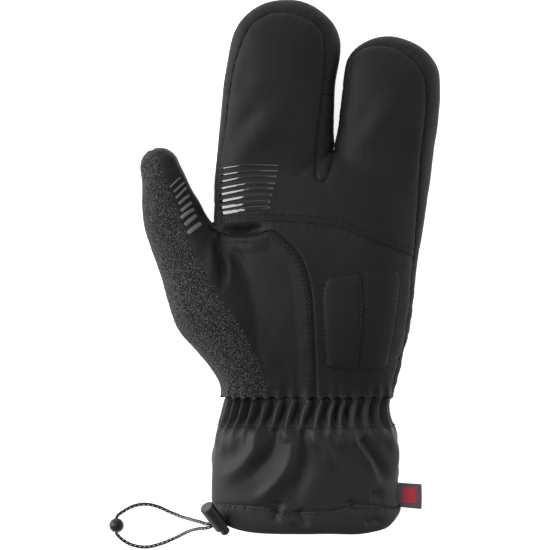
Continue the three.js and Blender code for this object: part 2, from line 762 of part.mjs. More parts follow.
// The cord lock's own frame: x along the cord hole, outwards, and z along the barrel to the plunger.
const strandPitch = cordThick + gap;
const slotHalf = (strandPitch + cordThick) / 2 + gap;
const boreRadius = plungerSize / 2 + gap;
const barrelRadius = boreRadius + barrelWall;
const lockAxis = new THREE.Vector3(
  Math.cos(radians(lockDip)) * Math.cos(radians(lockHeading)),
  Math.cos(radians(lockDip)) * Math.sin(radians(lockHeading)),
  -Math.sin(radians(lockDip)),
);
const holeAxis = new THREE.Vector3(Math.sin(radians(lockHeading)), -Math.cos(radians(lockHeading)), 0);

const lock = new THREE.Group();
lock.position.copy(lockAt).addScaledVector(lockAxis, -lockHoleAt);
lock.quaternion.setFromRotationMatrix(
  new THREE.Matrix4().makeBasis(holeAxis, new THREE.Vector3().crossVectors(lockAxis, holeAxis), lockAxis),
);

// A round-ended slot across the lock, along the hole, from one place on the axis to another.
function crossSlot(from, to) {
  const radius = cordThick / 2 + gap;
  const shape = new THREE.Shape();
  shape.absarc(0, from + radius, radius, Math.PI, 2 * Math.PI, false);
  shape.absarc(0, to - radius, radius, 0, Math.PI, false);
  const length = barrelRadius * 4;
  const geometry = new THREE.ExtrudeGeometry(shape, { depth: length, bevelEnabled: false, curveSegments: 6 });
  geometry.translate(0, 0, -length / 2);
  const alongHole = new THREE.Matrix4().set(0, 0, 1, 0, -1, 0, 0, 0, 0, 1, 0, 0, 0, 0, 0, 1);
  return solid(geometry.applyMatrix4(alongHole));
}

// A turned piece with its axis along z, from pairs of radius and distance along the axis.
function turned(profile, sides) {
  const points = profile.map(([radius, along]) => new THREE.Vector2(radius, along));
  return solid(new THREE.LatheGeometry(points, sides).rotateX(Math.PI / 2));
}

function buildBarrel() {
  const edge = 0.5;
  const body = turned(
    [
      [0, 0],
      [barrelRadius - edge, 0],
      [barrelRadius, edge],
      [barrelRadius, barrelLength - edge],
      [barrelRadius - edge, barrelLength],
      [boreRadius, barrelLength],
      [boreRadius, barrelFloor],
      [0, barrelFloor],
    ],
    16,
  );
  return body.subtract(crossSlot(lockHoleAt - slotHalf, lockHoleAt + slotHalf));
}

function buildPlunger() {
  const radius = plungerSize / 2;
  const tip = barrelLength + plungerShows;
  const edge = 0.6;
  const body = turned(
    [
      [0, barrelFloor + plungerTravel + gap],
      [radius, barrelFloor + plungerTravel + gap],
      [radius, tip - edge],
      [radius - edge, tip],
      [0, tip],
    ],
    16,
  );
  return body.subtract(crossSlot(lockHoleAt - slotHalf, lockHoleAt + slotHalf + plungerTravel));
}

// Points of a strand where it runs straight through the lock: at the hem, and outside the barrel.
const strandPoint = (which, out) =>
  lockAt.clone().addScaledVector(lockAxis, (which * strandPitch) / 2).addScaledVector(holeAxis, out);

function buildDrawcord() {
  const beadRun = [0.5, 0.25, 0, -0.25, -0.5];
  const route = new THREE.CatmullRomCurve3([
    strandPoint(-1, -cordRoot),
    strandPoint(-1, 0),
    strandPoint(-1, barrelRadius),
    strandPoint(-1, barrelRadius + 2),
    ...cordOut.map((point) => new THREE.Vector3(...point)),
    ...beadRun.map((t) => beadAt.clone().add(new THREE.Vector3(0, t * beadSize, 0))),
    ...cordBack.map((point) => new THREE.Vector3(...point)),
    strandPoint(1, barrelRadius + 2),
    strandPoint(1, barrelRadius),
    strandPoint(1, 0),
    strandPoint(1, -cordRoot),
  ]);
  const section = new THREE.Shape();
  section.absarc(0, 0, cordThick / 2, 0, 2 * Math.PI, false);
  return new THREE.ExtrudeGeometry(section, { steps: 44, extrudePath: route, curveSegments: 4 });
}

function buildBead() {
  const radius = beadSize / 2;
  const hole = cordThick / 2 + beadSlack;
  const profile = [];
  const steps = 6;
  const start = Math.asin(hole / radius);
  for (let i = 0; i <= steps; i += 1) {
    const angle = mix(start, Math.PI - start, i / steps);
    profile.push(new THREE.Vector2(radius * Math.sin(angle), -radius * Math.cos(angle)));
  }
  profile.push(profile[0].clone());
  return new THREE.LatheGeometry(profile, 14);
}

// The folded label stands out of the cuff's side seam, across the hem's stitch line.
function buildLabel() {
  const last = cuffRings().at(-1);
  const rings = [...cuffRings().slice(-3), ...hemRings().slice(0, 2)];
  const root = Math.max(...rings.map((ring) => ring.x + ring.halfWide + ring.ripple(0))) + gap;
  const profile = new THREE.Shape();
  const half = labelThick / 2;
  profile.moveTo(root, -half);
  profile.lineTo(root + labelWidth - half, -half);
  profile.absarc(root + labelWidth - half, 0, half, -Math.PI / 2, Math.PI / 2, false);
  profile.lineTo(root, half);
  const options = { depth: labelLength, bevelEnabled: false, curveSegments: 5 };
  const geometry = new THREE.ExtrudeGeometry(profile, options);
  return geometry.rotateX(Math.PI / 2).translate(0, last.y(0) + labelLength - labelDrop, last.z);
}

const group = new THREE.Group();
group.name = "lobster_claw_mitt";

function addPiece(name, made, material, parent = group) {
  const mesh = new THREE.Mesh(made.isBufferGeometry ? made : geometryOf(made), material);
  mesh.name = name;
  parent.add(mesh);
  return mesh;
}

const handPanels = buildHand();
for (const [name, made] of Object.entries(handPanels)) {
  addPiece(name, made, name === "thumb_wipe" ? terryCloth : shellCloth);
}
addPiece("palm_pad", buildPad(), shellCloth);
const printed = skin(gripThick);
gripBars(printed, indexBar, indexGripWidth).forEach((bar, i) => {
  addPiece(`index_grip_${i + 1}`, bar, silicone);
});
gripBars(printed, thumbBar, thumbGripWidth).forEach((bar, i) => {
  addPiece(`thumb_grip_${i + 1}`, bar, greySilicone);
});
addPiece("wrist_gather", cuffSleeve(wristRings(), gatherCount * gatherSides), shellCloth);
addPiece("gauntlet_cuff", cuffSleeve(cuffRings(), foldCount * foldSides), shellCloth);
addPiece("hem_channel", cuffSleeve(hemRings(), foldCount * foldSides), shellCloth);

addPiece("side_label", buildLabel(), wovenLabel);
addPiece("drawcord", buildDrawcord(), braid);
addPiece("cord_bead", buildBead(), mouldedPlastic).position.copy(beadAt);
group.add(lock);
addPiece("cord_lock_barrel", buildBarrel(), mouldedPlastic, lock);
addPiece("cord_lock_plunger", buildPlunger(), mouldedPlastic, lock);

export default group;
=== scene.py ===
"""An insulated lobster claw mitt, lying on its back, palm up, on a pale floor."""

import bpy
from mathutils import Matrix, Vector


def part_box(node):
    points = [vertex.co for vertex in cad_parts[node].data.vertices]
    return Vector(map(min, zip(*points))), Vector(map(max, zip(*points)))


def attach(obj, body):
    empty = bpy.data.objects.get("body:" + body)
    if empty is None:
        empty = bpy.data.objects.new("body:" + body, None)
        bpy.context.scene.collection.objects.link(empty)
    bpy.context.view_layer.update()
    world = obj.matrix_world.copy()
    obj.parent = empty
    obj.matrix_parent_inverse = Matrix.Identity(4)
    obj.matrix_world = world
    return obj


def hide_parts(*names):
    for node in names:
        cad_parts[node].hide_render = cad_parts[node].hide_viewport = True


bl_info = {
    "name": "Lobster Claw Mitt",
    "version": (1, 0, 0),
    "blender": (4, 5, 0),
    "location": "View3D > Sidebar > Mitt",
    "description": "Sews an insulated lobster claw mitt round its packed frame",
    "category": "Object",
}

import math
from functools import lru_cache

import bpy
import numpy as np
from mathutils import Vector, noise
from mathutils.bvhtree import BVHTree
from mathutils.kdtree import KDTree

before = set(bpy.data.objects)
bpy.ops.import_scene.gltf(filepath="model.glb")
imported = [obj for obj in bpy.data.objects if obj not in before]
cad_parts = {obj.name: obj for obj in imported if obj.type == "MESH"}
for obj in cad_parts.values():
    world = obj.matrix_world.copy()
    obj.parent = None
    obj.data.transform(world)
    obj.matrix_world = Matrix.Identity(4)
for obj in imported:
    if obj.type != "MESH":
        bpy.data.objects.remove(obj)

MM = 0.001

CAMERA_AT = (-0.0178, 0.0135, 1.6)  # straight over the palm, in metres
CAMERA_LENS = 191
LIGHTS_AIM = (-0.01, 0.01, 0.02)
FLOOR_DROP = 0.3  # mm that the floor lies under the mitt
RAY_TOP = 100  # mm, above everything
RAY_BOTTOM = -20  # mm, below everything

# Sizes of the hand in mm, as the frame has them
PALM_HALF = 57.25
PALM_THICK = 44.0
PALM_LENGTH = 133.0
WRIST_Y = -51.8
UNDERSIDE = 1.5  # how much of the back is pressed flat
POD_THICK = 34.0
POD_CURL = 7.0
POD_ROOT = 46.0  # how far the pods run down into the palm
SLIT_Y = WRIST_Y + PALM_LENGTH
SLIT_X = 15.0
# half width, centre, length from the slit, rounded tip
LONG_POD = (29.99, -20.2, 81.0, 27.0)
SHORT_POD = (26.06, 36.1, 61.0, 21.6)
THUMB_REACH = 134.0
THUMB_SPREAD = 82.4
THUMB_WIDTH = 54.0
THUMB_THICK = 42.0
THUMB_TIP = 10.8
LIMB_FOOT = -0.07  # palm and thumb run on below the wrist, in shares of their length
FRONT_Z = 18.5  # panels of the palm side lie above this
THUMB_Z = 15.1  # the thumb's front panel lies above this
WRIST_FRONT_Z = 17  # the palm side of the wrist is above this
FLOOR_GAP = 0.05  # the cloth stays this far above the floor
PADDING = 0.45  # the insulation swells the whole hand by this much
GUSSET_Z = 11.0  # the gussets stand between the back and the front panels
SLIT_GUSSET_Y = 111.2
HAND_POWER = 2.35  # exponent of the sections, 2 is an ellipse
CUFF_POWER = 2.25
SOFTEN_PASSES = 14
ROOT_PASSES = 40  # more of them where the pods grow out of the palm
SEAM_STEPS = (-1.5, -0.7, 0.7, 1.5)  # the mesh also follows lines this far beside each seam, mm
SNAP = 0.22  # mesh points this close to such a line move onto it
SLEEVE_LAP = 0.15  # each sleeve of the cuff starts this far below the one above
PAD_STEP = 0.7  # spacing of the pad's mesh
PAD_PITCH = 2.4  # from one of the pad's stitches to the next
LABEL_TAIL = 3.0  # how far the label's strip runs into the seam
LABEL_PLY = 4.4  # by this much a ply of the strip is longer than the frame's label is wide
BLOCK_ROWS, BLOCK_COLUMNS = 18, 16  # mesh of the label's block

# Sections of the pods: share along, centre aside, width, thickness, rise of the tip
LONG_ROWS = [
    (0, 0.28, 0.985, 0.8, 1),
    (0.21, 0.262, 0.99, 0.88, 0.75),
    (0.37, 0.155, 0.995, 0.93, 0.45),
    (0.5, 0.122, 1.012, 0.97, 0.22),
    (0.64, 0.085, 1.03, 1, 0),
    (0.83, 0.01, 1.02, 1, -0.1),
    (1, 0, 0.93, 0.76, 0.75),
]
SHORT_ROWS = [
    (0, 0.27, 0.97, 0.8, 1),
    (0.2, 0.355, 0.98, 0.88, 0.7),
    (0.3, 0.34, 1.01, 0.93, 0.4),
    (0.41, 0.3, 1.02, 0.97, 0.2),
    (0.56, 0.215, 1.015, 1, 0),
    (0.8, 0.11, 0.985, 1, -0.1),
    (1, 0, 0.9, 0.76, 0.75),
]
# Sections of the palm: share up from the wrist, centre aside, width, thickness
PALM_ROWS = [
    (0.99, 0.17, 0.98, 0.56),
    (0.9, 0.148, 1, 0.84),
    (0.8, 0.123, 1, 0.89),
    (0.7, 0.104, 0.988, 0.94),
    (0.57, 0.094, 0.943, 0.98),
    (0.44, 0.094, 0.906, 1),
    (0.31, 0.09, 0.863, 1),
    (0.18, 0.061, 0.825, 0.96),
    (0.08, 0.038, 0.811, 0.91),
    (0, 0.003, 0.786, 0.87),
]
# Sections of the thumb: share up, share aside, lean in degrees, width, thickness
THUMB_ROWS = [
    (0.919, 0.974, 14, 0.38, 0.66),
    (0.878, 0.954, 16, 0.42, 0.7),
    (0.806, 0.931, 20, 0.504, 0.74),
    (0.734, 0.895, 24, 0.59, 0.79),
    (0.657, 0.843, 28, 0.636, 0.83),
    (0.569, 0.761, 32, 0.74, 0.88),
    (0.484, 0.675, 36, 0.9, 0.95),
    (0.387, 0.584, 38, 1, 1),
    (0.286, 0.498, 36, 0.87, 1),
    (0.185, 0.446, 28, 0.68, 0.97),
    (0.073, 0.38, 14, 0.6, 0.93),
    (-0.03, 0.354, 4, 0.58, 0.9),
]
THUMB_TIP_ROW = (10, 0.38, 0.6)  # lean, width and thickness at its rounded tip

# Seams in plan, mm
SEAMS = {
    "finger_edge": [
        (-47.8, 41.9), (-48.9, 54.0), (-47.0, 75.6), (-44.8, 91.8), (-42.9, 109.1), (-41.6, 117.7),
        (-40.0, 125.8), (-37.6, 133.9), (-34.2, 142.6), (-30.2, 149.0), (-24.6, 152.8),
        (-17.3, 155.2), (-12.4, 155.2), (-5.4, 153.6), (1.9, 150.4), (6.3, 146.6), (8.5, 141.3),
        (9.2, 135.0), (9.0, 123.7), (8.1, 111.8), (6.2, 97.2), (5.1, 86.4), (4.1, 72.9), (4.3, 67.0),
        (5.7, 64.0), (7.6, 63.7), (9.5, 65.1), (11.1, 69.1), (12.7, 75.1), (14.3, 81.5), (15.7, 87.8),
        (17.8, 98.3), (19.7, 109.1), (21.1, 118.8), (22.4, 126.4), (24.3, 131.2), (27.0, 134.2),
        (30.2, 136.1), (35.1, 137.4), (41.0, 137.2), (48.1, 135.0), (54.3, 131.4), (59.1, 126.6),
        (62.1, 121.0), (63.5, 113.4), (63.7, 105.3), (63.0, 95.6), (62.1, 88.6), (61.0, 78.8),
        (59.8, 59.4), (58.9, 44.8), (57.0, 23.5),
    ],
    "finger_seam": [
        (-51.3, 38.1), (-49.4, 40.0), (-46.4, 41.0), (-37.8, 41.7), (-29.2, 42.2), (-20.5, 42.4),
        (-10.8, 42.2), (-1.6, 41.7), (10.8, 40.1), (20.0, 38.1), (29.7, 34.2), (39.4, 30.2),
        (49.1, 26.5), (57.0, 23.5),
    ],
    "thumb_seam": [
        (-51.3, 38.1), (-48.1, 36.5), (-43.2, 35.3), (-36.7, 34.9), (-30.2, 35.4), (-25.9, 36.4),
        (-21.6, 37.3), (-17.3, 36.5), (-13.0, 33.5), (-7.6, 28.3), (-3.0, 21.8), (0.3, 12.6),
        (2.2, 2.7), (3.2, -10.3), (3.8, -23.2), (4.3, -36.7), (4.5, -45.6), (4.9, -55.1),
    ],
    "wipe_seam": [
        (-89.0, 87.5), (-86.4, 83.2), (-83.7, 80.5), (-79.9, 75.1), (-77.8, 67.5), (-74.8, 60.5),
        (-71.8, 52.9), (-68.6, 44.8), (-64.8, 34.6), (-61.0, 24.8), (-55.6, 16.2), (-51.8, 7.6),
        (-47.0, 0.5), (-37.0, -12.4), (-30.8, -23.8), (-25.9, -34.6), (-22.7, -44.8), (-21.1, -55.1),
    ],
    "heel_edge": [
        (57.0, 23.5), (55.6, 8.1), (54.9, -1.1), (52.9, -10.8), (51.0, -21.6), (48.9, -32.4),
        (46.4, -43.2), (44.6, -55.1),
    ],
    "web_seam": [(-53.5, 52.0), (-52.4, 45.0), (-51.3, 38.1)],
}
PAD_OUTLINE = [
    (8.4, 10.3), (10.5, 13.2), (16.2, 14.1), (22.7, 14.9), (32.9, 16.8), (40.5, 17.6),
    (45.4, 17.8), (48.3, 17.0), (50.0, 14.3), (50.3, 10.3), (49.6, 1.6), (48.6, -7.0),
    (47.4, -15.1), (45.9, -23.2), (44.7, -30.2), (43.3, -35.9), (40.0, -38.1), (32.9, -39.0),
    (23.8, -38.9), (16.2, -38.1), (11.6, -37.6), (9.2, -35.9), (8.5, -31.9), (7.9, -21.6),
    (7.1, -8.1), (6.8, 4.3), (8.4, 10.3),
]
PAD_GROOVE = [
    (28.7, 20.4), (28.9, 8.1), (29.4, -3.8), (29.1, -10.8), (28.5, -16.7), (27.4, -27.0),
    (26.0, -41.0),
]

# Corners that close the outlines of the thumb's panels, off the hand
BESIDE_THUMB = (-56, 87.5)
LEFT_OF_THUMB = [(-130, -60), (-130, 120)]

# How each panel meets its seams: sewn edge to edge, lapped over its neighbour or under it
PANEL_EDGES = {
    "finger_palm_panel": {"finger_edge": "sewn", "finger_seam": "over"},
    "heel_palm_panel": {"finger_seam": "under", "thumb_seam": "lip", "heel_edge": "sewn"},
    "thumb_panel": {"thumb_seam": "under", "wipe_seam": "sewn", "web_seam": "sewn"},
    "thumb_wipe": {"wipe_seam": "sewn"},
    "long_pod_gusset": {"finger_edge": "sewn", "web_seam": "sewn"},
    "slit_gusset": {"finger_edge": "sewn"},
    "short_pod_gusset": {"finger_edge": "sewn", "heel_edge": "sewn"},
    "back_panel": {"wipe_seam": "sewn"},
}

# Folds pressed into the hand: points in plan, depth (a ridge is below 0) and half width, mm
HAND_FOLDS = [
    ([(-47.0, 37.0), (-42, 37.2), (-35, 37.4), (-28, 38.0), (-23, 39.0)], 6.6, 2.5),
    ([(-50.5, 41.0), (-49.0, 37.0), (-48.6, 33.0)], -1.6, 1.8),
    ([(-47.8, 32.5), (-46.6, 27), (-45.8, 19), (-46, 11), (-46.5, 6)], 3.9, 2.8),
    ([(-43, 32.2), (-37, 30.6), (-30, 30.2)], 1.0, 1.7),
    ([(-41, 29), (-37, 22), (-33, 15)], 1.2, 2.6),
    ([(-43.5, 28), (-41.5, 18), (-42, 8)], -1.0, 2.4),
    ([(-51, 33), (-51.5, 22), (-50.5, 12)], -1.0, 2.2),
    ([(-10, 109), (-26, 90), (-44, 72)], -1.3, 7),
    ([(-26, 104), (-42, 86)], 1.2, 5),
    ([(-30, 128), (-38, 112)], 0.7, 5),
    ([(52, 116), (34, 92), (20, 70)], -1.2, 7),
    ([(24, 88), (36, 106)], 1.0, 5),
    ([(55, 90), (46, 70)], 0.7, 6),
    ([(53, -30), (47, -32), (40, -33)], 1.2, 1.7),
    ([(-8, 66), (-2, 70), (2, 75)], 0.6, 2.0),
]

# Rows of stitches on the hand: seam, distances from it, pitch, share of the pitch, part of the run
STITCH_ROWS = [
    ("finger_seam", (2.0, 3.6), 2.3, 0.5, (0.06, 0.99)),
    ("thumb_seam", (-1.9, -3.9), 2.6, 0.42, (0.24, 0.99)),
]

# Grip bars in plan: left end, middle, right end, mm
INDEX_BARS = [
    [(-47.7, 70.7), (-34.6, 72.4), (-15.3, 72.2)],
    [(-48.0, 67.1), (-34.6, 69.0), (-15.7, 69.3)],
    [(-48.0, 63.5), (-34.6, 65.9), (-16.3, 66.2)],
    [(-47.7, 59.9), (-34.6, 62.2), (-17.0, 62.6)],
    [(-48.3, 56.5), (-34.6, 59.1), (-18.0, 59.9)],
    [(-48.3, 52.9), (-34.6, 55.4), (-18.7, 56.3)],
    [(-48.0, 49.5), (-34.6, 51.7), (-19.8, 52.8)],
    [(-47.0, 46.5), (-34.6, 48.6), (-20.1, 49.7)],
]
THUMB_BARS = [
    [(-74.5, 60.5), (-71.5, 63.6), (-68.6, 66.4)],
    [(-72.4, 57.8), (-69.4, 61.0), (-66.4, 63.7)],
    [(-71.3, 54.5), (-68.1, 57.9), (-65.3, 61.0)],
    [(-69.7, 51.3), (-66.6, 54.4), (-63.7, 56.7)],
    [(-68.6, 47.5), (-65.4, 50.4), (-62.4, 52.7)],
    [(-68.6, 43.7), (-64.9, 46.8), (-61.0, 49.1)],
    [(-66.4, 40.0), (-63.0, 43.2), (-59.7, 45.9)],
    [(-64.8, 35.6), (-61.0, 38.9), (-57.2, 41.6)],
]

# Sides of the wrist and cuff: place up, left, right
CUFF_SIDES = [
    (-51.8, -44.4, 44.6),
    (-58, -44.2, 42.4),
    (-64, -45.6, 43.6),
    (-67.5, -47.2, 45.6),
    (-72, -49.0, 47.0),
    (-80, -50.2, 47.4),
    (-90, -51.1, 48.0),
    (-100, -51.9, 48.7),
    (-112, -52.0, 49.4),
    (-125, -50.4, 49.8),
]
WAIST_Y = -67.1  # where the gathers end
HEM_Y = -111.9  # the stitched line of the hem, behind
CUFF_END_Y = -125.3
# Half the thickness of the wrist and cuff: place up, thickness
CUFF_THICK = [
    (-130, 20.0), (-112, 20.0), (-90, 20.4), (-72, 20.4), (-66, 19.4), (-58, 18.8), (-51, 19),
]
# Folds of the cuff: points in plan, height (a valley is below 0) and half width, mm
CUFF_FOLDS = [
    ([(-41, -65.5), (-47, -74), (-50, -82)], 0.9, 2.2),
    ([(-36, -66), (-43, -75), (-48, -85)], 0.9, 2.2),
    ([(-30.8, -65), (-38, -74), (-45, -84)], 0.8, 2.6),
    ([(-26.5, -66), (-27, -72), (-27.4, -79), (-32, -87), (-41, -93.5), (-49, -98)], 2.6, 4.4),
    ([(-13, -65), (-11.7, -70.5), (-7.6, -75), (-7.6, -81), (-10.8, -90), (-16.2, -97.5),
      (-23.5, -104.5), (-35, -108.5)], 3.2, 4.2),
    ([(1, -65), (3, -73.5), (9, -80), (11.4, -86.5), (10, -94)], 1.9, 3.4),
    ([(9, -65), (13, -72), (21, -80)], 1.2, 2.6),
    ([(16, -66), (26, -77.6), (33, -87), (39, -96.5)], 2.0, 3.0),
    ([(36, -66), (41, -72), (47, -82), (48.5, -97)], 1.6, 2.8),
    ([(-18, -66), (-18.6, -76), (-22, -84), (-28, -90), (-33.5, -99)], -2.9, 4.2),
    ([(-3.5, -66), (-2.7, -78), (-3, -90), (-6.5, -101), (-8, -112)], -2.8, 4.6),
    ([(27, -72), (33, -81), (39, -90), (44, -101)], -2.8, 3.0),
    ([(-16, -107), (-16.5, -113), (-18, -120)], -1.3, 2.3),
    ([(-15, -112), (-10.5, -117), (-6, -121.5)], 1.6, 2.8),
    ([(-6, -112), (-3, -117), (-1, -123)], -1.4, 2.2),
    ([(21, -107), (25, -111), (28, -117)], -1.2, 2.0),
    ([(33, -104), (41, -105)], -1.3, 2.6),
    ([(30, -120.5), (35, -118.2), (41, -119.5)], -1.2, 1.6),
]
# The stitched line of the hem on the palm side: across, up
HEM_SEAM = [
    (-58, -109.2), (-49, -109.6), (-37, -109.8), (-27, -110.4), (-21, -111.3), (-15.7, -113.4),
    (-6, -113.2), (5, -112.9), (15, -112.6), (19.5, -111.4), (24.2, -109.7), (32, -109.7),
    (45.2, -111.6), (56, -111.2),
]
# Gathers of the wrist on the palm side, where they stand across it, mm
GATHER_X = [
    -42.6, -39.2, -34.6, -29.2, -22.4, -15.6, -8.6, -0.9, 6.2, 13.0, 18.4, 24.8, 31.9, 37.6, 42.5,
]
GATHERS_BEHIND = 14

# The loose loop of cord: out of the lock, round through the bead and back, mm
CORD_OUT = [
    (-58.9, -119.2, 28.5), (-64.0, -119.0, 16.0), (-69.0, -118.5, 5.8), (-75.8, -116.1, 1.6),
    (-82.6, -113.2, 1.2), (-88.4, -112.0, 1.2), (-94.2, -112.7, 1.3), (-100.4, -115.6, 2.2),
]
CORD_BACK = [
    (-102.3, -130.6, 2.2), (-97.1, -134.0, 1.2), (-88.4, -135.5, 1.2), (-80.6, -133.8, 1.3),
    (-72.8, -130.5, 3.2), (-65.4, -126.2, 12.5), (-59.2, -123.4, 26.0),
]
BEAD_AT = np.array((-104.5, -123.4, 4.0))
BEAD_SIZE = 8.0
CORD_THICK = 1.9
LOCK_AT = np.array((-49.0, -118.3, 33.5))
LOCK_AXIS = np.array((0.490051, -0.692124, -0.529919))
HOLE_AXIS = np.array((-0.816138, -0.577858, 0.0))
FLAT_END = 0.92  # cosine up to which a face of the lock counts as its end, which is painted paler as painted light
STRAND_PITCH = 2.2
BARREL_RADIUS = 3.9
ROUTE_STEP = 0.45  # between points of the cord's route
BRAID_CROSSING = 2.0  # length in which the braid's strands cross
TRACER_TURN = 2.6  # length in which the pale yarn goes once round


def colour(code):
    """An sRGB hex colour as linear red, green, blue and alpha."""
    parts = [int(code[i : i + 2], 16) / 255 for i in (1, 3, 5)]
    return [c / 12.92 if c <= 0.04045 else ((c + 0.055) / 1.055) ** 2.4 for c in parts] + [1]


def smooth_rows(rows, places):
    """Values of a table's columns at places along its first column, on curves through its rows."""
    rows = np.asarray(rows, float)
    rows = rows[np.argsort(rows[:, 0])]
    x, y = rows[:, 0], rows[:, 1:]
    slope = np.gradient(y, x, axis=0)
    k = np.clip(np.searchsorted(x, places, side="right") - 1, 0, len(x) - 2)
    step = (x[k + 1] - x[k])[:, None]
    t = np.clip((places - x[k])[:, None] / step, 0, 1)
    start = y[k] * (1 + 2 * t) * (1 - t) ** 2 + slope[k] * step * t * (1 - t) ** 2
    end = y[k + 1] * t * t * (3 - 2 * t) + slope[k + 1] * step * t * t * (t - 1)
    return start + end


def run_along(points):
    """Distance along a line at each of its points."""
    return np.concatenate([[0], np.cumsum(np.linalg.norm(np.diff(points, axis=0), axis=1))])


def curve_through(points, step=0.4):
    """Evenly spaced points of a smooth curve through the given ones."""
    points = np.asarray(points, float)
    chord = run_along(points)
    dense = smooth_rows(np.column_stack([chord, points]), np.linspace(0, chord[-1], 40 * len(chord)))
    run = run_along(dense)
    even = np.linspace(0, run[-1], max(3, round(run[-1] / step) + 1))
    return np.column_stack([np.interp(even, run, dense[:, i]) for i in range(dense.shape[1])])


def unit(vectors):
    return vectors / np.maximum(np.linalg.norm(vectors, axis=-1, keepdims=True), 1e-9)


def bell(distance, width):
    return np.exp(-((distance / width) ** 2))


class Line:
    """A smooth curve in plan or in space, and how far points are from it."""

    def __init__(self, points, step=0.4):
        self.points = curve_through(points, step)
        self.tangents = unit(np.gradient(self.points, axis=0))
        self.step = step
        self.tree = KDTree(len(self.points))
        for i, p in enumerate(self.points):
            self.tree.insert((*p, 0) if len(p) == 2 else p, i)
        self.tree.balance()

    def nearest(self, points):
        """The nearest point of the curve, the offset across it, and whether that isn't an end."""
        flat = self.points.shape[1] == 2
        seek = [(p[0], p[1], 0) if flat else p for p in points.tolist()]
        index = np.array([self.tree.find(p)[1] for p in seek])
        offset = points[:, : self.points.shape[1]] - self.points[index]
        tangent = self.tangents[index]
        inner = (index > 0) & (index < len(self.points) - 1)
        along = (offset * tangent).sum(axis=1) * inner
        return index, offset - tangent * along[:, None], inner

    def close(self, points, reach):
        """Which points may be within reach of the curve."""
        flat = points[:, : self.points.shape[1]]
        low, high = self.points.min(axis=0) - reach, self.points.max(axis=0) + reach
        return ((flat > low) & (flat < high)).all(axis=1)

    def away(self, points, reach=14):
        """Share of the way along the curve, and distance from it, for points within reach."""
        share, distance = np.zeros(len(points)), np.full(len(points), 99.0)
        near = self.close(points, reach)
        if near.any():
            index, offset, _ = self.nearest(points[near])
            share[near] = index / (len(self.points) - 1)
            distance[near] = np.linalg.norm(offset, axis=1)
        return share, distance

    def signed(self, points, reach=5):
        """Distance in plan, above 0 to the left of the curve's run, and the step across it."""
        field, across = np.full(len(points), 99.0), np.zeros((len(points), 2))
        near = np.flatnonzero(self.close(points, reach))
        if len(near):
            index, offset, inner = self.nearest(points[near])
            tangent = self.tangents[index]
            side = tangent[:, 0] * offset[:, 1] - tangent[:, 1] * offset[:, 0]
            distance = np.sign(side) * np.linalg.norm(offset, axis=1)
            field[near] = np.where(inner, distance, 99.0)
            across[near] = np.column_stack([-tangent[:, 1], tangent[:, 0]])
        return field, across


def angles_round(sides):
    return np.linspace(0, 2 * np.pi, sides, endpoint=False)


def grid_faces(rows, sides, closed=True):
    """Quads between rows of points, each row with the same number of points round it."""
    r, c = np.meshgrid(np.arange(rows - 1), np.arange(sides if closed else sides - 1), indexing="ij")
    d = (c + 1) % sides
    corners = [r * sides + c, r * sides + d, (r + 1) * sides + d, (r + 1) * sides + c]
    return np.stack(corners, 2).reshape(-1, 4)


def ring_faces(rows, sides):
    """Quads between rings of points, from the last ring back to the first too."""
    i = np.arange(sides)
    j = (i + 1) % sides
    last = (rows - 1) * sides
    return np.concatenate([grid_faces(rows, sides), np.stack([last + i, last + j, j, i], 1)])


def end_caps(rows, sides):
    """The two faces that close a tube of rings at its ends."""
    return np.stack([np.arange(sides)[::-1], np.arange((rows - 1) * sides, rows * sides)])


def halves(quads):
    """Each quad as two triangles."""
    return np.concatenate([quads[:, [0, 1, 2]], quads[:, [0, 2, 3]]])


def new_mesh(name, points, *face_sets):
    """A mesh from points in mm and arrays of faces."""
    mesh = bpy.data.meshes.new(name)
    mesh.vertices.add(len(points))
    mesh.vertices.foreach_set("co", (np.asarray(points) * MM).astype(np.float32).ravel())
    loops = np.concatenate([np.asarray(f).ravel() for f in face_sets]).astype(np.int32)
    totals = np.concatenate([np.full(len(f), f.shape[1]) for f in face_sets])
    mesh.loops.add(len(loops))
    mesh.loops.foreach_set("vertex_index", loops)
    mesh.polygons.add(len(totals))
    starts = np.concatenate([[0], np.cumsum(totals)[:-1]]).astype(np.int32)
    mesh.polygons.foreach_set("loop_start", starts)
    mesh.update(calc_edges=True)
    mesh.validate()
    return mesh


def new_object(name, data):
    made = bpy.data.objects.new(name, data)
    bpy.context.scene.collection.objects.link(made)
    return made


def new_piece(name, points, *face_sets, material, slot, sharp=50):
    """A piece of the mitt from points in mm, with its finish."""
    mesh = new_mesh(name, points, *face_sets)
    mesh.shade_smooth()
    mesh.set_sharp_from_angle(angle=math.radians(sharp))
    piece = new_object(name, mesh)
    mesh.materials.append(material)
    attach(piece, "mitt")
    return piece


def section_rings(x, y, z, half_wide, half_thick, lean, sides=110):
    """Superellipse sections across a limb, pressed flat where they would pass the floor."""
    angle = angles_round(sides)
    c, s = np.cos(angle), np.sin(angle)
    across = np.sign(c) * np.abs(c) ** (2 / HAND_POWER) * half_wide[:, None]
    height = z[:, None] + np.sign(s) * np.abs(s) ** (2 / HAND_POWER) * half_thick[:, None]
    turn = np.radians(lean)[:, None]
    rings = [x[:, None] + across * np.cos(turn), y[:, None] + across * np.sin(turn), np.maximum(height, 0)]
    return np.stack(rings, axis=2)


def rounded(tip, steps):
    """Distances back from a rounded tip and how full the section is at each."""
    turn = np.radians(np.linspace(5, 90, steps))
    return tip * (1 - np.cos(turn)), np.sin(turn)


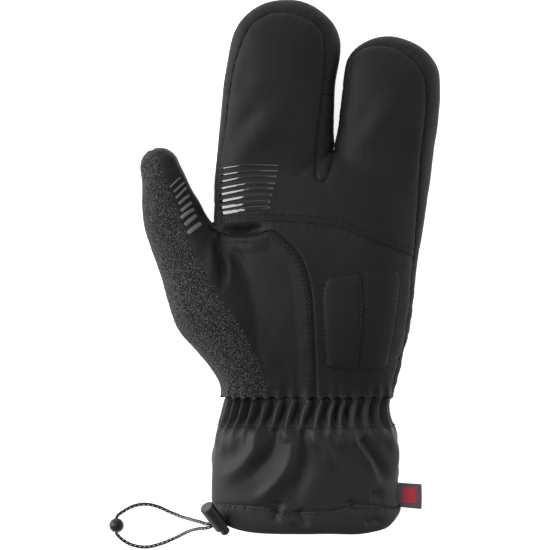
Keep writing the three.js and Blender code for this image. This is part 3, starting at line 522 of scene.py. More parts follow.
def pod_rings(rows, pod):
    half, centre, length, tip = pod
    reach = length + POD_ROOT
    tip_back, tip_full = rounded(tip, 14)
    body = np.linspace(tip, reach, 42)[1:]
    back = np.concatenate([tip_back, body])
    full = np.concatenate([tip_full, np.ones_like(body)])
    aside, wide, thick, rise = smooth_rows(rows, back / reach).T
    half_thick = thick * POD_THICK / 2
    z = half_thick + rise * POD_CURL
    return section_rings(
        centre + aside * half, SLIT_Y + length - back, z, wide * half * full, half_thick * full, back * 0
    )


def palm_rings():
    up = np.linspace(PALM_ROWS[0][0], LIMB_FOOT, 60)
    aside, wide, thick = smooth_rows(PALM_ROWS, up).T
    half_thick = thick * PALM_THICK / 2
    return section_rings(
        aside * PALM_HALF, WRIST_Y + up * PALM_LENGTH, half_thick - UNDERSIDE,
        wide * PALM_HALF, half_thick, up * 0,
    )


def thumb_rings():
    back, full = rounded(THUMB_TIP, 12)
    lean, wide, thick = THUMB_TIP_ROW
    turn = math.radians(lean)
    tip = [
        (1 - b * math.cos(turn) / THUMB_REACH, 1 - b * math.sin(turn) / THUMB_SPREAD,
         lean + 4 * b / THUMB_TIP, wide, thick + 0.06 * b / THUMB_TIP, f)
        for b, f in zip(back[:-1], full[:-1])
    ]
    up = np.linspace(THUMB_ROWS[0][0], LIMB_FOOT, 64)
    body = np.column_stack([up, smooth_rows(THUMB_ROWS, up), up * 0 + 1])
    up, aside, lean, wide, thick, full = np.concatenate([tip, body]).T
    half_thick = thick * THUMB_THICK / 2
    return section_rings(
        -aside * THUMB_SPREAD, WRIST_Y + up * THUMB_REACH, half_thick - UNDERSIDE * (1 - up),
        wide * full * THUMB_WIDTH / 2, half_thick * full, lean,
    )


def joined_form(ring_sets, voxel):
    """One skin round several closed limbs, as points in mm and triangles."""
    points, quads, fans = [], [], []
    base = 0
    for rings in ring_sets:
        count, sides = rings.shape[:2]
        points += [rings.reshape(-1, 3), rings[[0, -1]].mean(axis=1)]
        quads.append(base + grid_faces(count, sides))
        i = np.arange(sides)
        first, last = base + count * sides, base + count * sides + 1
        fans.append(np.stack([np.full(sides, first), base + (i + 1) % sides, base + i], 1))
        end = base + (count - 1) * sides
        fans.append(np.stack([np.full(sides, last), end + i, end + (i + 1) % sides], 1))
        base += count * sides + 2
    mesh = new_mesh("hand_form", np.concatenate(points), np.concatenate(quads), np.concatenate(fans))
    form = new_object("hand_form", mesh)
    join = form.modifiers.new("join", "REMESH")
    join.mode = "VOXEL"
    join.voxel_size = voxel * MM
    skin = bpy.data.meshes.new_from_object(form.evaluated_get(bpy.context.evaluated_depsgraph_get()))
    skin.calc_loop_triangles()
    co = np.empty(len(skin.vertices) * 3, np.float32)
    skin.vertices.foreach_get("co", co)
    tris = np.empty(len(skin.loop_triangles) * 3, np.int32)
    skin.loop_triangles.foreach_get("vertices", tris)
    bpy.data.objects.remove(form)
    bpy.data.meshes.remove(mesh)
    bpy.data.meshes.remove(skin)
    return co.reshape(-1, 3).astype(float) / MM, tris.reshape(-1, 3).astype(int)


def ways_round(faces):
    """The three edges of each triangle, the way it goes round."""
    return np.concatenate([faces[:, [0, 1]], faces[:, [1, 2]], faces[:, [2, 0]]])


def in_use(faces):
    """The numbers of the points that triangles use, and the triangles numbered by them."""
    used, again = np.unique(faces, return_inverse=True)
    return used, again.reshape(-1, 3)


def edges_of(faces):
    """Each edge of the triangles once, as two point numbers."""
    pairs = np.sort(ways_round(faces), axis=1)
    keys = np.unique(pairs[:, 0] * (faces.max() + 1) + pairs[:, 1])
    return np.column_stack(np.divmod(keys, faces.max() + 1))


def softened(points, faces, passes, share=1.0, back=-0.56):
    """Points evened out between their neighbours; the step back keeps the whole from shrinking."""
    edges = edges_of(faces)
    count = np.bincount(edges.ravel(), minlength=len(points))[:, None]
    for i in range(passes * 2):
        total = np.zeros_like(points)
        for k in range(3):
            total[:, k] = np.bincount(edges[:, 0], points[edges[:, 1], k], len(points))
            total[:, k] += np.bincount(edges[:, 1], points[edges[:, 0], k], len(points))
        points = points + (total / count - points) * (0.55 if i % 2 == 0 else back) * share
    return points


def normals_of(points, faces):
    a, b, c = (points[faces[:, k]] for k in range(3))
    face = np.cross(b - a, c - a)
    total = np.zeros_like(points)
    for k in range(3):
        for axis in range(3):
            total[:, axis] += np.bincount(faces[:, k], face[:, axis], len(points))
    return unit(total)


def cut_along(points, faces, field, level, allowed, across, snap=0.0):
    """Triangles split where a field passes through a level, which points within snap move onto."""
    points, field = points.copy(), field.copy()
    close = allowed & (np.abs(field - level) < snap)
    points[close, : across.shape[1]] -= across[close] * (field[close] - level)[:, None]
    field[close] = level
    off = field - level
    a, b = edges_of(faces).T
    cross = (off[a] * off[b] < 0) & allowed[a] & allowed[b]
    a, b = a[cross], b[cross]
    share = off[a] / (off[a] - off[b])
    added = points[a] + (points[b] - points[a]) * share[:, None]
    keys = a * (len(points) + 1) + b
    order = np.argsort(keys)
    keys = keys[order]
    numbers = len(points) + order

    def middle(i, j):
        if not len(keys):
            return np.full(len(i), -1)
        key = np.minimum(i, j) * (len(points) + 1) + np.maximum(i, j)
        at = np.clip(np.searchsorted(keys, key), 0, len(keys) - 1)
        return np.where(keys[at] == key, numbers[at], -1)

    corner = [faces[:, k] for k in range(3)]
    mids = [middle(corner[k], corner[(k + 1) % 3]) for k in range(3)]
    hits = sum((m >= 0).astype(int) for m in mids)
    made = [faces[hits == 0]]
    for k in range(3):
        p, q, r = corner[k], corner[(k + 1) % 3], corner[(k + 2) % 3]
        m_pq, m_rp = mids[k], mids[(k + 2) % 3]
        one = (hits == 1) & (m_pq >= 0)
        made.append(np.stack([p, m_pq, r], 1)[one])
        made.append(np.stack([m_pq, q, r], 1)[one])
        two = (hits == 2) & (m_pq >= 0) & (m_rp >= 0)
        made.append(np.stack([p, m_pq, m_rp], 1)[two])
        made.append(np.stack([m_pq, q, r], 1)[two])
        made.append(np.stack([m_pq, r, m_rp], 1)[two])
    field = np.concatenate([field, np.full(len(added), level)])
    return np.concatenate([points, added]), np.concatenate(made), field


def inside(points, outline):
    """Which points are inside an outline in plan."""
    outline = np.asarray(outline)
    low, high = outline.min(axis=0), outline.max(axis=0)
    near = np.flatnonzero(((points[:, :2] > low) & (points[:, :2] < high)).all(axis=1))
    x, y = points[near, 0], points[near, 1]
    odd = np.zeros(len(near), bool)
    for (x0, y0), (x1, y1) in zip(outline, np.roll(outline, -1, axis=0)):
        if y0 != y1:
            odd ^= ((y0 > y) != (y1 > y)) & (x < (x1 - x0) * (y - y0) / (y1 - y0) + x0)
    found = np.zeros(len(points), bool)
    found[near[odd]] = True
    return found


def ripple_of(points, scale, seed):
    """Soft random values, one for each point, between -1 and 1."""
    shift = Vector((seed * 7.3, seed * 3.1, seed * 5.7))
    values = [noise.noise(Vector(p) / scale + shift) for p in points.reshape(-1, 3).tolist()]
    return np.reshape(values, points.shape[:-1])


class Hand:
    """The hand's skin, cut along its seams into panels, with the height of its cloth."""

    def __init__(self, voxel):
        form = [pod_rings(LONG_ROWS, LONG_POD), pod_rings(SHORT_ROWS, SHORT_POD), palm_rings(), thumb_rings()]
        points, faces = joined_form(form, voxel)
        points = softened(points, faces, SOFTEN_PASSES)
        # the roots of the pods run out evenly into the palm, but for the foot of the slit
        slit = np.hypot(points[:, 0] - SLIT_X, np.minimum(points[:, 1] - SLIT_Y, 0))
        root = bell(points[:, 1] - SLIT_Y + 11, 17) * (1 - bell(slit, 4)) * (points[:, 2] > 22)
        points = softened(points, faces, ROOT_PASSES, root[:, None] * (0, 0, 1), 0.55)
        points[:, 2] = np.maximum(points[:, 2], 0.15)
        self.lines = {name: Line(table) for name, table in SEAMS.items()}
        plan = {name: line.points for name, line in self.lines.items()}
        self.areas = {
            "finger_palm_panel": (plan["finger_edge"], plan["finger_seam"][::-1]),
            "heel_palm_panel": (plan["finger_seam"][::-1], plan["thumb_seam"], plan["heel_edge"][::-1]),
            "thumb_panel": (
                plan["wipe_seam"], plan["thumb_seam"][::-1], plan["web_seam"][::-1], [BESIDE_THUMB]),
            "thumb_wipe": (plan["wipe_seam"], LEFT_OF_THUMB),
        }
        self.areas = {name: np.concatenate(runs) for name, runs in self.areas.items()}
        for name, line in self.lines.items():
            low = {"wipe_seam": -1, "web_seam": GUSSET_Z - 1}.get(name, FRONT_Z - 2)
            field, across = line.signed(points)
            for level in (0, *SEAM_STEPS):
                allowed = (field < 9) & (points[:, 2] > low)
                across = np.concatenate([across, np.zeros((len(points) - len(across), 2))])
                points, faces, field = cut_along(points, faces, field, level, allowed, across, SNAP)
        for height, axis in ((GUSSET_Z, 2), (THUMB_Z, 2), (SLIT_GUSSET_Y, 1), (WRIST_Y, 1)):
            field = points[:, axis].copy()
            across = np.tile(np.eye(3)[axis], (len(points), 1))
            allowed = np.abs(field - height) < 4
            points, faces, _ = cut_along(points, faces, field, height, allowed, across, SNAP)
        # the mouth is left open at the wrist seam
        used, self.faces = in_use(faces[points[faces].mean(axis=1)[:, 1] > WRIST_Y])
        self.points = points[used]
        self.normals = normals_of(self.points, self.faces)
        self.base_tree = BVHTree.FromPolygons(self.points.tolist(), self.faces.tolist())
        self.labels = self.label(self.points[self.faces].mean(axis=1))
        self.space = {name: self.laid(plan[name], name == "wipe_seam") for name in plan}
        self.folds = [(self.laid(curve_through(p)[:, :2]), depth, width) for p, depth, width in HAND_FOLDS]

    def label(self, middles):
        """The panel to which each triangle belongs, by its middle."""
        labels = np.full(len(middles), "back_panel", dtype="<U24")
        z = middles[:, 2]
        thumb = inside(middles, self.areas["thumb_panel"])
        wipe = inside(middles, self.areas["thumb_wipe"]) & ~thumb
        upper = z > GUSSET_Z
        labels[upper] = "long_pod_gusset"
        between = (middles[:, 0] > LONG_POD[1]) & (middles[:, 0] < SHORT_POD[1])
        labels[upper & (middles[:, 0] > (LONG_POD[1] + SHORT_POD[1]) / 2)] = "short_pod_gusset"
        labels[upper & between & (middles[:, 1] < SLIT_GUSSET_Y)] = "slit_gusset"
        labels[thumb] = "back_panel"
        labels[thumb & (z > THUMB_Z)] = "thumb_panel"
        for name in ("heel_palm_panel", "finger_palm_panel"):
            labels[inside(middles, self.areas[name]) & (z > FRONT_Z)] = name
        labels[wipe] = "thumb_wipe"
        return labels

    def laid(self, plan, both=False):
        """A line in plan laid on the skin from above, and from below too where it goes right round."""
        runs = []
        for start, way in ((RAY_TOP, -1), (RAY_BOTTOM, 1))[: 2 if both else 1]:
            hits = [self.base_tree.ray_cast(Vector((x, y, start)), Vector((0, 0, way)))[0] for x, y in plan]
            runs.append(np.array([h for h in hits if h]))
        return Line(np.concatenate([runs[0][::-1], *runs[1:]]) if both else runs[0])

    def height(self, name, points, depth):
        """How far the cloth of a panel stands off the skin at each point, mm."""
        high = np.full(len(points), PADDING)
        # the grip bars cross the pod's seam where it is drawn nearly flat
        flat = 0.8 * bell(points[:, 1] - 60, 16) * (points[:, 0] < -30)
        for seam, kind in PANEL_EDGES[name].items():
            share, away = self.space[seam].away(points, 9)
            run = share * self.space[seam].step * len(self.space[seam].points)
            pucker = np.sin(run * 1.05 + 1.7 * np.sin(run * 0.31)) * 0.16 + np.sin(run * 0.43) * 0.12
            if kind == "sewn":
                sink = 0.55 if seam == "wipe_seam" else 1 - flat
                high -= depth * sink * np.exp(-away / 1.2)
                high += pucker * 0.6 * bell(away - 3.4, 2.6)
            elif kind == "over":
                edge = 0.5 * bell(away, 2.4) - 0.5 * bell(away, 0.5) - 0.22 * bell(away - 2.9, 0.9)
                high += edge * np.clip((points[:, 0] + 26) / 6, 0, 1) + pucker * 0.5 * bell(away - 3.2, 3)
            elif kind == "lip":
                high += 1.15 * (1 - np.exp(-away / 0.45)) * np.exp(-away / 2)
            else:
                high -= 0.5 * bell(away, 1.9) - pucker * 0.5 * bell(away - 3.2, 3)
        if name in ("long_pod_gusset", "slit_gusset"):
            beside_slit = (points[:, 0] > LONG_POD[1]) & (points[:, 0] < SLIT_X - 2)
            high -= 0.8 * np.exp(-np.abs(points[:, 1] - SLIT_GUSSET_Y) / 0.8) * beside_slit
        # the side of the hand swells a little above the wrist
        high += 1.2 * bell(points[:, 1] + 20, 15) * np.clip((points[:, 0] - 32) / 14, 0, 1)
        # the walls of the pods meet at the foot of the slit
        high += 0.9 * bell(np.hypot(points[:, 0] - SLIT_X + 0.6, points[:, 1] - SLIT_Y - 2.8), 4)
        if name == "thumb_panel":
            from_wipe = self.space["wipe_seam"].away(points, 16)[1]
            from_heel = self.space["thumb_seam"].away(points, 16)[1]
            roll = np.clip(from_wipe / 12, 0, 1) * np.clip(from_heel / 10, 0.3, 1)
            high -= 2.1 * roll * np.clip((points[:, 2] - 22) / 8, 0, 1)
        near_wrist = points[:, 1] < WRIST_Y + 14
        angle = wrist_angle(points[near_wrist, 0], points[near_wrist, 2] > WRIST_FRONT_Z)
        low = np.exp((WRIST_Y - points[near_wrist, 1]) / 3.6)
        high[near_wrist] += (gathers(angle) * 1.7 + 0.3) * low
        for line, fold, width in self.folds:
            share, away = line.away(points, width * 3)
            taper = np.sin(np.pi * np.clip(share, 0.02, 0.98)) ** 0.7
            high -= fold * bell(away, width) * taper
        high += 0.28 * ripple_of(points, 17, 1) + 0.12 * ripple_of(points, 7, 2)
        if name == "thumb_wipe":
            high += 0.16 * ripple_of(points, 1.9, 3) + 0.1 * ripple_of(points, 1.1, 4)
        return high

    def panel(self, name, wall, depth):
        """A panel's outer and inner skins, as points, and its triangles."""
        used, faces = in_use(self.faces[self.labels == name])
        base, normal = self.points[used], self.normals[used]
        high = self.height(name, base, depth)
        if name == "back_panel":
            high *= np.clip(base[:, 2] / 6, 0, 1)
        # the gathers draw the edge at the wrist down in scallops
        drawn = gathers(wrist_angle(base[:, 0], base[:, 2] > WRIST_FRONT_Z))
        base[:, 1] -= 1.3 * drawn * np.exp((WRIST_Y - base[:, 1]) / 2.6)
        outer = base + normal * high[:, None]
        outer[:, 2] = np.maximum(outer[:, 2], FLOOR_GAP)
        inner = base + normal * (np.minimum(high, 0) - wall)[:, None]
        return outer, inner, faces


def shell(outer, inner, faces):
    """A closed shell between an outer and an inner skin with the same triangles."""
    count = len(outer)
    ways = ways_round(faces)
    key = ways.min(axis=1) * count + ways.max(axis=1)
    _, first, times = np.unique(key, return_index=True, return_counts=True)
    rim = ways[first[times == 1]]
    walls = np.stack([rim[:, 1], rim[:, 0], rim[:, 0] + count, rim[:, 1] + count], 1)
    return np.concatenate([outer, inner]), np.concatenate([faces, faces[:, ::-1] + count]), walls


@lru_cache(maxsize=None)
def hand_skin():
    return Hand(bpy.context.scene.mitt_sizes.mesh_step / MM)


@lru_cache(maxsize=None)
def hand_panels():
    sizes = bpy.context.scene.mitt_sizes
    hand = hand_skin()
    return {name: hand.panel(name, sizes.wall / MM, sizes.seam_depth / MM) for name in PANEL_EDGES}


@lru_cache(maxsize=None)
def cloth_tree():
    """The finished outer face of the hand, for what is laid or sewn on it."""
    points, faces, base = [], [], 0
    for outer, _, tris in hand_panels().values():
        points.append(outer)
        faces.append(tris + base)
        base += len(outer)
    return BVHTree.FromPolygons(np.concatenate(points).tolist(), np.concatenate(faces).tolist())


def laid_on(tree, plan):
    """Points of a line in plan laid on a surface from above, with its normals."""
    hits = [tree.ray_cast(Vector((x, y, RAY_TOP)), Vector((0, 0, -1))) for x, y in plan]
    found = [(h[0], h[1]) for h in hits if h[0]]
    return np.array([p for p, _ in found]), np.array([n for _, n in found])


def beside(line, offset):
    """The line in plan at a distance to the left of another."""
    across = np.column_stack([-line.tangents[:, 1], line.tangents[:, 0]])
    return line.points + across * offset


def stitch_shapes(points, normals, pitch, share=0.66, sink=0.15):
    """A row of thread stitches lying along a line of surface points: points and quads."""
    thick = bpy.context.scene.mitt_sizes.thread_size / MM
    run = run_along(points)
    starts = np.arange(pitch * 0.3, run[-1] - pitch, pitch)
    rings, sides = 6, 6
    t = np.linspace(0, 1, rings)
    place = starts[:, None] + t[None, :] * pitch * share
    centre = np.stack([np.interp(place, run, points[:, k]) for k in range(3)], 2)
    up = unit(np.stack([np.interp(place, run, normals[:, k]) for k in range(3)], 2))
    ahead = unit(np.gradient(centre, axis=1))
    side = unit(np.cross(ahead, up))
    bow = (np.sin(np.pi * t) * (thick * 0.75 + sink) - sink)[None, :, None]
    centre = centre + up * bow
    radius = (thick / 2 * np.sqrt(np.clip(1 - (2 * t - 1) ** 4, 0.05, 1)))[None, :, None, None]
    angle = angles_round(sides)
    ring = (side[:, :, None, :] * np.cos(angle)[None, None, :, None]
            + up[:, :, None, :] * np.sin(angle)[None, None, :, None])
    body = (centre[:, :, None, :] + ring * radius).reshape(-1, 3)
    # stitches under the mitt are pressed into its cloth
    body[:, 2] = np.maximum(body[:, 2], 0.01)
    quads = grid_faces(rings, sides)
    one = rings * sides
    caps = end_caps(rings, sides)
    count = len(starts)
    all_quads = (quads[None] + np.arange(count)[:, None, None] * one).reshape(-1, 4)
    all_caps = (caps[None] + np.arange(count)[:, None, None] * one).reshape(-1, sides)
    return body, all_quads, all_caps


def joined_shapes(shapes):
    """Several sets of points and faces as one."""
    points, faces, base = [], None, 0
    for body, *sets in shapes:
        points.append(body)
        sets = [s + base for s in sets]
        faces = [[s] for s in sets] if faces is None else [f + [s] for f, s in zip(faces, sets)]
        base += len(body)
    return [np.concatenate(points)] + [np.concatenate(f) for f in faces]


# Finishes

BAND = 314.16  # scale of a wave texture whose bands are 1 mm apart


def node(tree, kind, inputs=None, **settings):
    """Adds a node with its settings, and sets or links its inputs."""
    made = tree.nodes.new(kind)
    for name, value in settings.items():
        setattr(made, name, value)
    for key, value in (inputs or {}).items():
        if isinstance(value, bpy.types.NodeSocket):
            tree.links.new(value, made.inputs[key])
        else:
            made.inputs[key].default_value = value
    return made


def shades(name, *factors):
    """A colour of the mitt and lighter or darker shades of it, with alpha."""
    chosen = getattr(bpy.context.scene.mitt_colours, name)
    return [[*(c * factor for c in chosen), 1] for factor in (1, *factors)]


def finish(name, base, roughness, **settings):
    """A new material, its nodes, its shader and its place, with constants on the shader's own sockets."""
    material = bpy.data.materials.new(name)
    material.use_nodes = True
    tree = material.node_tree
    shader = tree.nodes["Principled BSDF"]
    shader.inputs["Base Color"].default_value = base
    shader.inputs["Roughness"].default_value = roughness
    for key, value in settings.items():
        shader.inputs[key.replace("_", " ").title().replace("Ior", "IOR")].default_value = value
    return material, tree, shader, node(tree, "ShaderNodeTexCoord").outputs["Object"]


@lru_cache(maxsize=None)
def softshell():
    """Stretch softshell: a fine warp knit, brushed dull, so it lights up softly at grazing angles."""
    base, low, high = shades("softshell", 0.6, 1.4)
    material, tree, shader, place = finish(
        "softshell_knit", base, 0.66, sheen_weight=0.07, sheen_roughness=0.3, specular_ior_level=0.2)
    # wales of 0.25 mm are drawn 1.2 mm apart, because they would not show
    wale = node(tree, "ShaderNodeTexWave", {
        "Vector": place, "Scale": BAND / 1.2, "Distortion": 1.2, "Detail": 2.0, "Detail Scale": 3.0},
        wave_type="BANDS", bands_direction="X")
    grain = node(tree, "ShaderNodeTexNoise", {
        "Vector": place, "Scale": 1000 / 1.1, "Detail": 4.0, "Roughness": 0.75})
    cloud = node(tree, "ShaderNodeTexNoise", {"Vector": place, "Scale": 1000 / 26, "Detail": 2.0})
    shade = node(tree, "ShaderNodeMath", {
        0: grain.outputs["Fac"], 1: cloud.outputs["Fac"]}, operation="ADD")
    level = node(tree, "ShaderNodeMapRange", {
        "Value": shade.outputs[0], "From Min": 0.7, "From Max": 1.3})
    mix = node(tree, "ShaderNodeMix", {0: level.outputs[0], 6: low, 7: high}, data_type="RGBA")
    first = node(tree, "ShaderNodeBump", {
        "Height": wale.outputs["Fac"], "Strength": 0.25, "Distance": 0.00005})
    second = node(tree, "ShaderNodeBump", {
        "Height": grain.outputs["Fac"], "Strength": 0.5, "Distance": 0.0001, "Normal": first.outputs[0]})
    tree.links.new(mix.outputs[2], shader.inputs["Base Color"])
    tree.links.new(second.outputs[0], shader.inputs["Normal"])
    return material


@lru_cache(maxsize=None)
def cuff_cloth():
    """Plain woven nylon shell: smooth yarns with a low lustre that runs along each fold."""
    base, low, high = shades("cuff", 0.5, 1.5)
    material, tree, shader, place = finish(
        "woven_nylon", base, 0.62, sheen_weight=0.08, sheen_roughness=0.4, specular_ior_level=0.3)
    # threads of 0.2 mm are drawn 1 mm apart, so that the weave shows at all
    warp = node(tree, "ShaderNodeTexWave", {
        "Vector": place, "Scale": BAND / 1.0, "Distortion": 0.8, "Detail": 1.0}, bands_direction="X")
    weft = node(tree, "ShaderNodeTexWave", {
        "Vector": place, "Scale": BAND / 1.0, "Distortion": 0.8, "Detail": 1.0}, bands_direction="Y")
    weave = node(tree, "ShaderNodeMath", {
        0: warp.outputs["Fac"], 1: weft.outputs["Fac"]}, operation="MAXIMUM")
    grain = node(tree, "ShaderNodeTexNoise", {"Vector": place, "Scale": 1000 / 1.0, "Detail": 3.0})
    mix = node(tree, "ShaderNodeMix", {0: grain.outputs["Fac"], 6: low, 7: high}, data_type="RGBA")
    first = node(tree, "ShaderNodeBump", {
        "Height": weave.outputs[0], "Strength": 0.5, "Distance": 0.0001})
    second = node(tree, "ShaderNodeBump", {
        "Height": grain.outputs["Fac"], "Strength": 0.3, "Distance": 0.00008, "Normal": first.outputs[0]})
    tree.links.new(mix.outputs[2], shader.inputs["Base Color"])
    tree.links.new(second.outputs[0], shader.inputs["Normal"])
    return material


@lru_cache(maxsize=None)
def terry():
    """Looped cotton terry: matt, with loop tops painted pale as painted light over gaps painted dark as
    painted shade, which reads as speckle.
    """
    # the dark shade is painted shade in the gaps between loops, the pale one painted light on their tops
    base, low, high = shades("terry", 0.12, 4.6)
    material, tree, shader, place = finish(
        "looped_terry", base, 0.9, sheen_weight=0.05, sheen_roughness=0.6, specular_ior_level=0.2)
    # loops of 0.6 mm are drawn 0.75 mm wide, because they would not show
    cell = node(tree, "ShaderNodeTexVoronoi", {
        "Vector": place, "Scale": 1000 / 0.75, "Randomness": 1.0}, feature="F1")
    loop_rise_and_shade = node(tree, "ShaderNodeMapRange", {
        "Value": cell.outputs["Distance"], "From Min": 0.6, "From Max": 0.12})
    speck = node(tree, "ShaderNodeTexNoise", {
        "Vector": place, "Scale": 1000 / 0.9, "Detail": 3.0, "Roughness": 0.8})
    pick = node(tree, "ShaderNodeMapRange", {
        "Value": speck.outputs["Fac"], "From Min": 0.42, "From Max": 0.62})
    # a noise picks which loop tops get the painted light; the others stay in painted shade
    both = node(tree, "ShaderNodeMath", {
        0: loop_rise_and_shade.outputs[0], 1: pick.outputs[0]}, operation="MULTIPLY")
    mix = node(tree, "ShaderNodeMix", {0: both.outputs[0], 6: low, 7: high}, data_type="RGBA")
    loops = node(tree, "ShaderNodeBump", {
        "Height": loop_rise_and_shade.outputs[0], "Strength": 0.9, "Distance": 0.0006})
    tree.links.new(mix.outputs[2], shader.inputs["Base Color"])
    tree.links.new(loops.outputs[0], shader.inputs["Normal"])
    return material


@lru_cache(maxsize=None)
def silicone(name, tint_name, rough):
    """Screen-printed silicone: a smooth rubbery bead that is as glossy as it was cured."""
    base, = shades(tint_name)
    material, tree, shader, place = finish(name, base, rough, ior=1.43, specular_ior_level=0.9)
    skin = node(tree, "ShaderNodeTexNoise", {"Vector": place, "Scale": 1000 / 1.5, "Detail": 2.0})
    level = node(tree, "ShaderNodeMapRange", {
        "Value": skin.outputs["Fac"], "To Min": rough * 0.75, "To Max": rough * 1.3})
    bump = node(tree, "ShaderNodeBump", {
        "Height": skin.outputs["Fac"], "Strength": 0.3, "Distance": 0.0001})
    tree.links.new(level.outputs[0], shader.inputs["Roughness"])
    tree.links.new(bump.outputs[0], shader.inputs["Normal"])
    return material


@lru_cache(maxsize=None)
def thread():
    """Bonded polyester thread: twisted, dark, with a small shine on each turn."""
    base, = shades("thread")
    material, tree, shader, place = finish("bonded_polyester_thread", base, 0.5, specular_ior_level=0.3)
    # turns of 0.5 mm
    twist = node(tree, "ShaderNodeTexWave", {
        "Vector": place, "Scale": BAND / 0.5}, bands_direction="DIAGONAL")
    bump = node(tree, "ShaderNodeBump", {
        "Height": twist.outputs["Fac"], "Strength": 0.4, "Distance": 0.00006})
    tree.links.new(bump.outputs[0], shader.inputs["Normal"])
    return material


@lru_cache(maxsize=None)
def moulded_plastic(name="moulded_acetal", lighter=1.0, rough=0.4):
    """Injection-moulded acetal: near black, semi-gloss, with a fine mould texture; a lighter copy of it is
    painted light.
    """
    _, base = shades("plastic", lighter)
    material, tree, shader, place = finish(name, base, rough, ior=1.48, specular_ior_level=0.35)
    # a spark-eroded grain of 0.5 mm
    skin = node(tree, "ShaderNodeTexNoise", {"Vector": place, "Scale": 1000 / 0.5, "Detail": 3.0})
    level = node(tree, "ShaderNodeMapRange", {
        "Value": skin.outputs["Fac"], "To Min": rough * 0.8, "To Max": rough * 1.25})
    bump = node(tree, "ShaderNodeBump", {
        "Height": skin.outputs["Fac"], "Strength": 0.15, "Distance": 0.00004})
    tree.links.new(level.outputs[0], shader.inputs["Roughness"])
    tree.links.new(bump.outputs[0], shader.inputs["Normal"])
    return material


@lru_cache(maxsize=None)
def braid():
    """Braided elastic cord: black polyester over rubber, with a pale tracer yarn that makes flecks."""
    base, = shades("cord")
    fleck_tone, = shades("tracer")
    material, tree, shader, _ = finish("braided_elastic", base, 0.6, specular_ior_level=0.3)
    place = node(tree, "ShaderNodeTexCoord").outputs["UV"]
    # u counts turns of the tracer, 2.6 mm each, along the cord, and v goes once round it
    parts = node(tree, "ShaderNodeSeparateXYZ", {"Vector": place})
    turn = node(tree, "ShaderNodeMath", {
        0: parts.outputs["Y"], 1: 2.0, 2: parts.outputs["X"]}, operation="MULTIPLY_ADD")
    along = node(tree, "ShaderNodeMath", {0: turn.outputs[0]}, operation="FRACT")
    fleck = node(tree, "ShaderNodeMath", {0: along.outputs[0], 1: 0.3}, operation="LESS_THAN")
    four = node(tree, "ShaderNodeMath", {0: parts.outputs["Y"], 1: 4.0}, operation="MULTIPLY")
    within = node(tree, "ShaderNodeMath", {0: four.outputs[0]}, operation="FRACT")
    side = node(tree, "ShaderNodeMath", {0: within.outputs[0], 1: 0.32}, operation="LESS_THAN")
    tracer = node(tree, "ShaderNodeMath", {
        0: fleck.outputs[0], 1: side.outputs[0]}, operation="MULTIPLY")
    mix = node(tree, "ShaderNodeMix", {
        0: tracer.outputs[0], 6: base, 7: fleck_tone}, data_type="RGBA")
    tree.links.new(mix.outputs[2], shader.inputs["Base Color"])
    return material


@lru_cache(maxsize=None)
def damask(name, tint_name):
    """Damask label: dense satin-woven polyester with fine ribs, so it stays flat and a little dull."""
    base, low, high = shades(tint_name, 0.85, 1.2)
    material, tree, shader, place = finish(name, base, 0.6, specular_ior_level=0.3)
    # picks of 0.25 mm are drawn 0.75 mm apart
    rib = node(tree, "ShaderNodeTexWave", {"Vector": place, "Scale": BAND / 0.75}, bands_direction="Y")
    mix = node(tree, "ShaderNodeMix", {0: rib.outputs["Fac"], 6: low, 7: high}, data_type="RGBA")
    bump = node(tree, "ShaderNodeBump", {
        "Height": rib.outputs["Fac"], "Strength": 0.3, "Distance": 0.00006})
    tree.links.new(mix.outputs[2], shader.inputs["Base Color"])
    tree.links.new(bump.outputs[0], shader.inputs["Normal"])
    return material


@lru_cache(maxsize=None)
def floor_paint():
    """Matt white opal sheet, lit from beneath, so that the shadows on it stay faint."""
    base, low, high = shades("floor", 0.97, 1.03)
    material, tree, shader, place = finish(
        "matt_opal_sheet", base, 0.9, emission_color=base,
        emission_strength=bpy.context.scene.mitt_stage.floor_glow)
    tone = node(tree, "ShaderNodeTexNoise", {"Vector": place, "Scale": 1000 / 60, "Detail": 2.0})
    mix = node(tree, "ShaderNodeMix", {0: tone.outputs["Fac"], 6: low, 7: high}, data_type="RGBA")
    tree.links.new(mix.outputs[2], shader.inputs["Base Color"])
    return material


def new_stitching(name, shapes):
    """All the given rows of stitches as one piece."""
    new_piece(name, *joined_shapes(shapes), material=thread(), slot="softshell")


# Settings


def extent(name, description, default):
    """A length that a user may change, in metres."""
    return bpy.props.FloatProperty(name=name, description=description, default=default, unit="LENGTH")


class MittSizes(bpy.types.PropertyGroup):
    mesh_step: extent("Mesh step", "Spacing of the hand's mesh", 0.0009)
    wall: extent("Wall", "Thickness of the padded hand", 0.0024)
    seam_depth: extent("Seam depth", "How far the panels sink where they are sewn", 0.0012)
    gather_depth: extent("Gather depth", "Height of the elastic gathers at the wrist", 0.004)
    pad_rise: extent("Pad rise", "How far the quilted pad stands off the palm", 0.0014)
    grip_rise: extent("Grip rise", "Height of the printed grip bars", 0.00045)
    thread_size: extent("Thread", "Thickness of the sewing thread", 0.0006)


def tint(name, description, code):
    """A colour that a user may change, from its sRGB hex code."""
    return bpy.props.FloatVectorProperty(
        name=name, description=description, default=colour(code)[:3], size=3, min=0, max=1, subtype="COLOR")


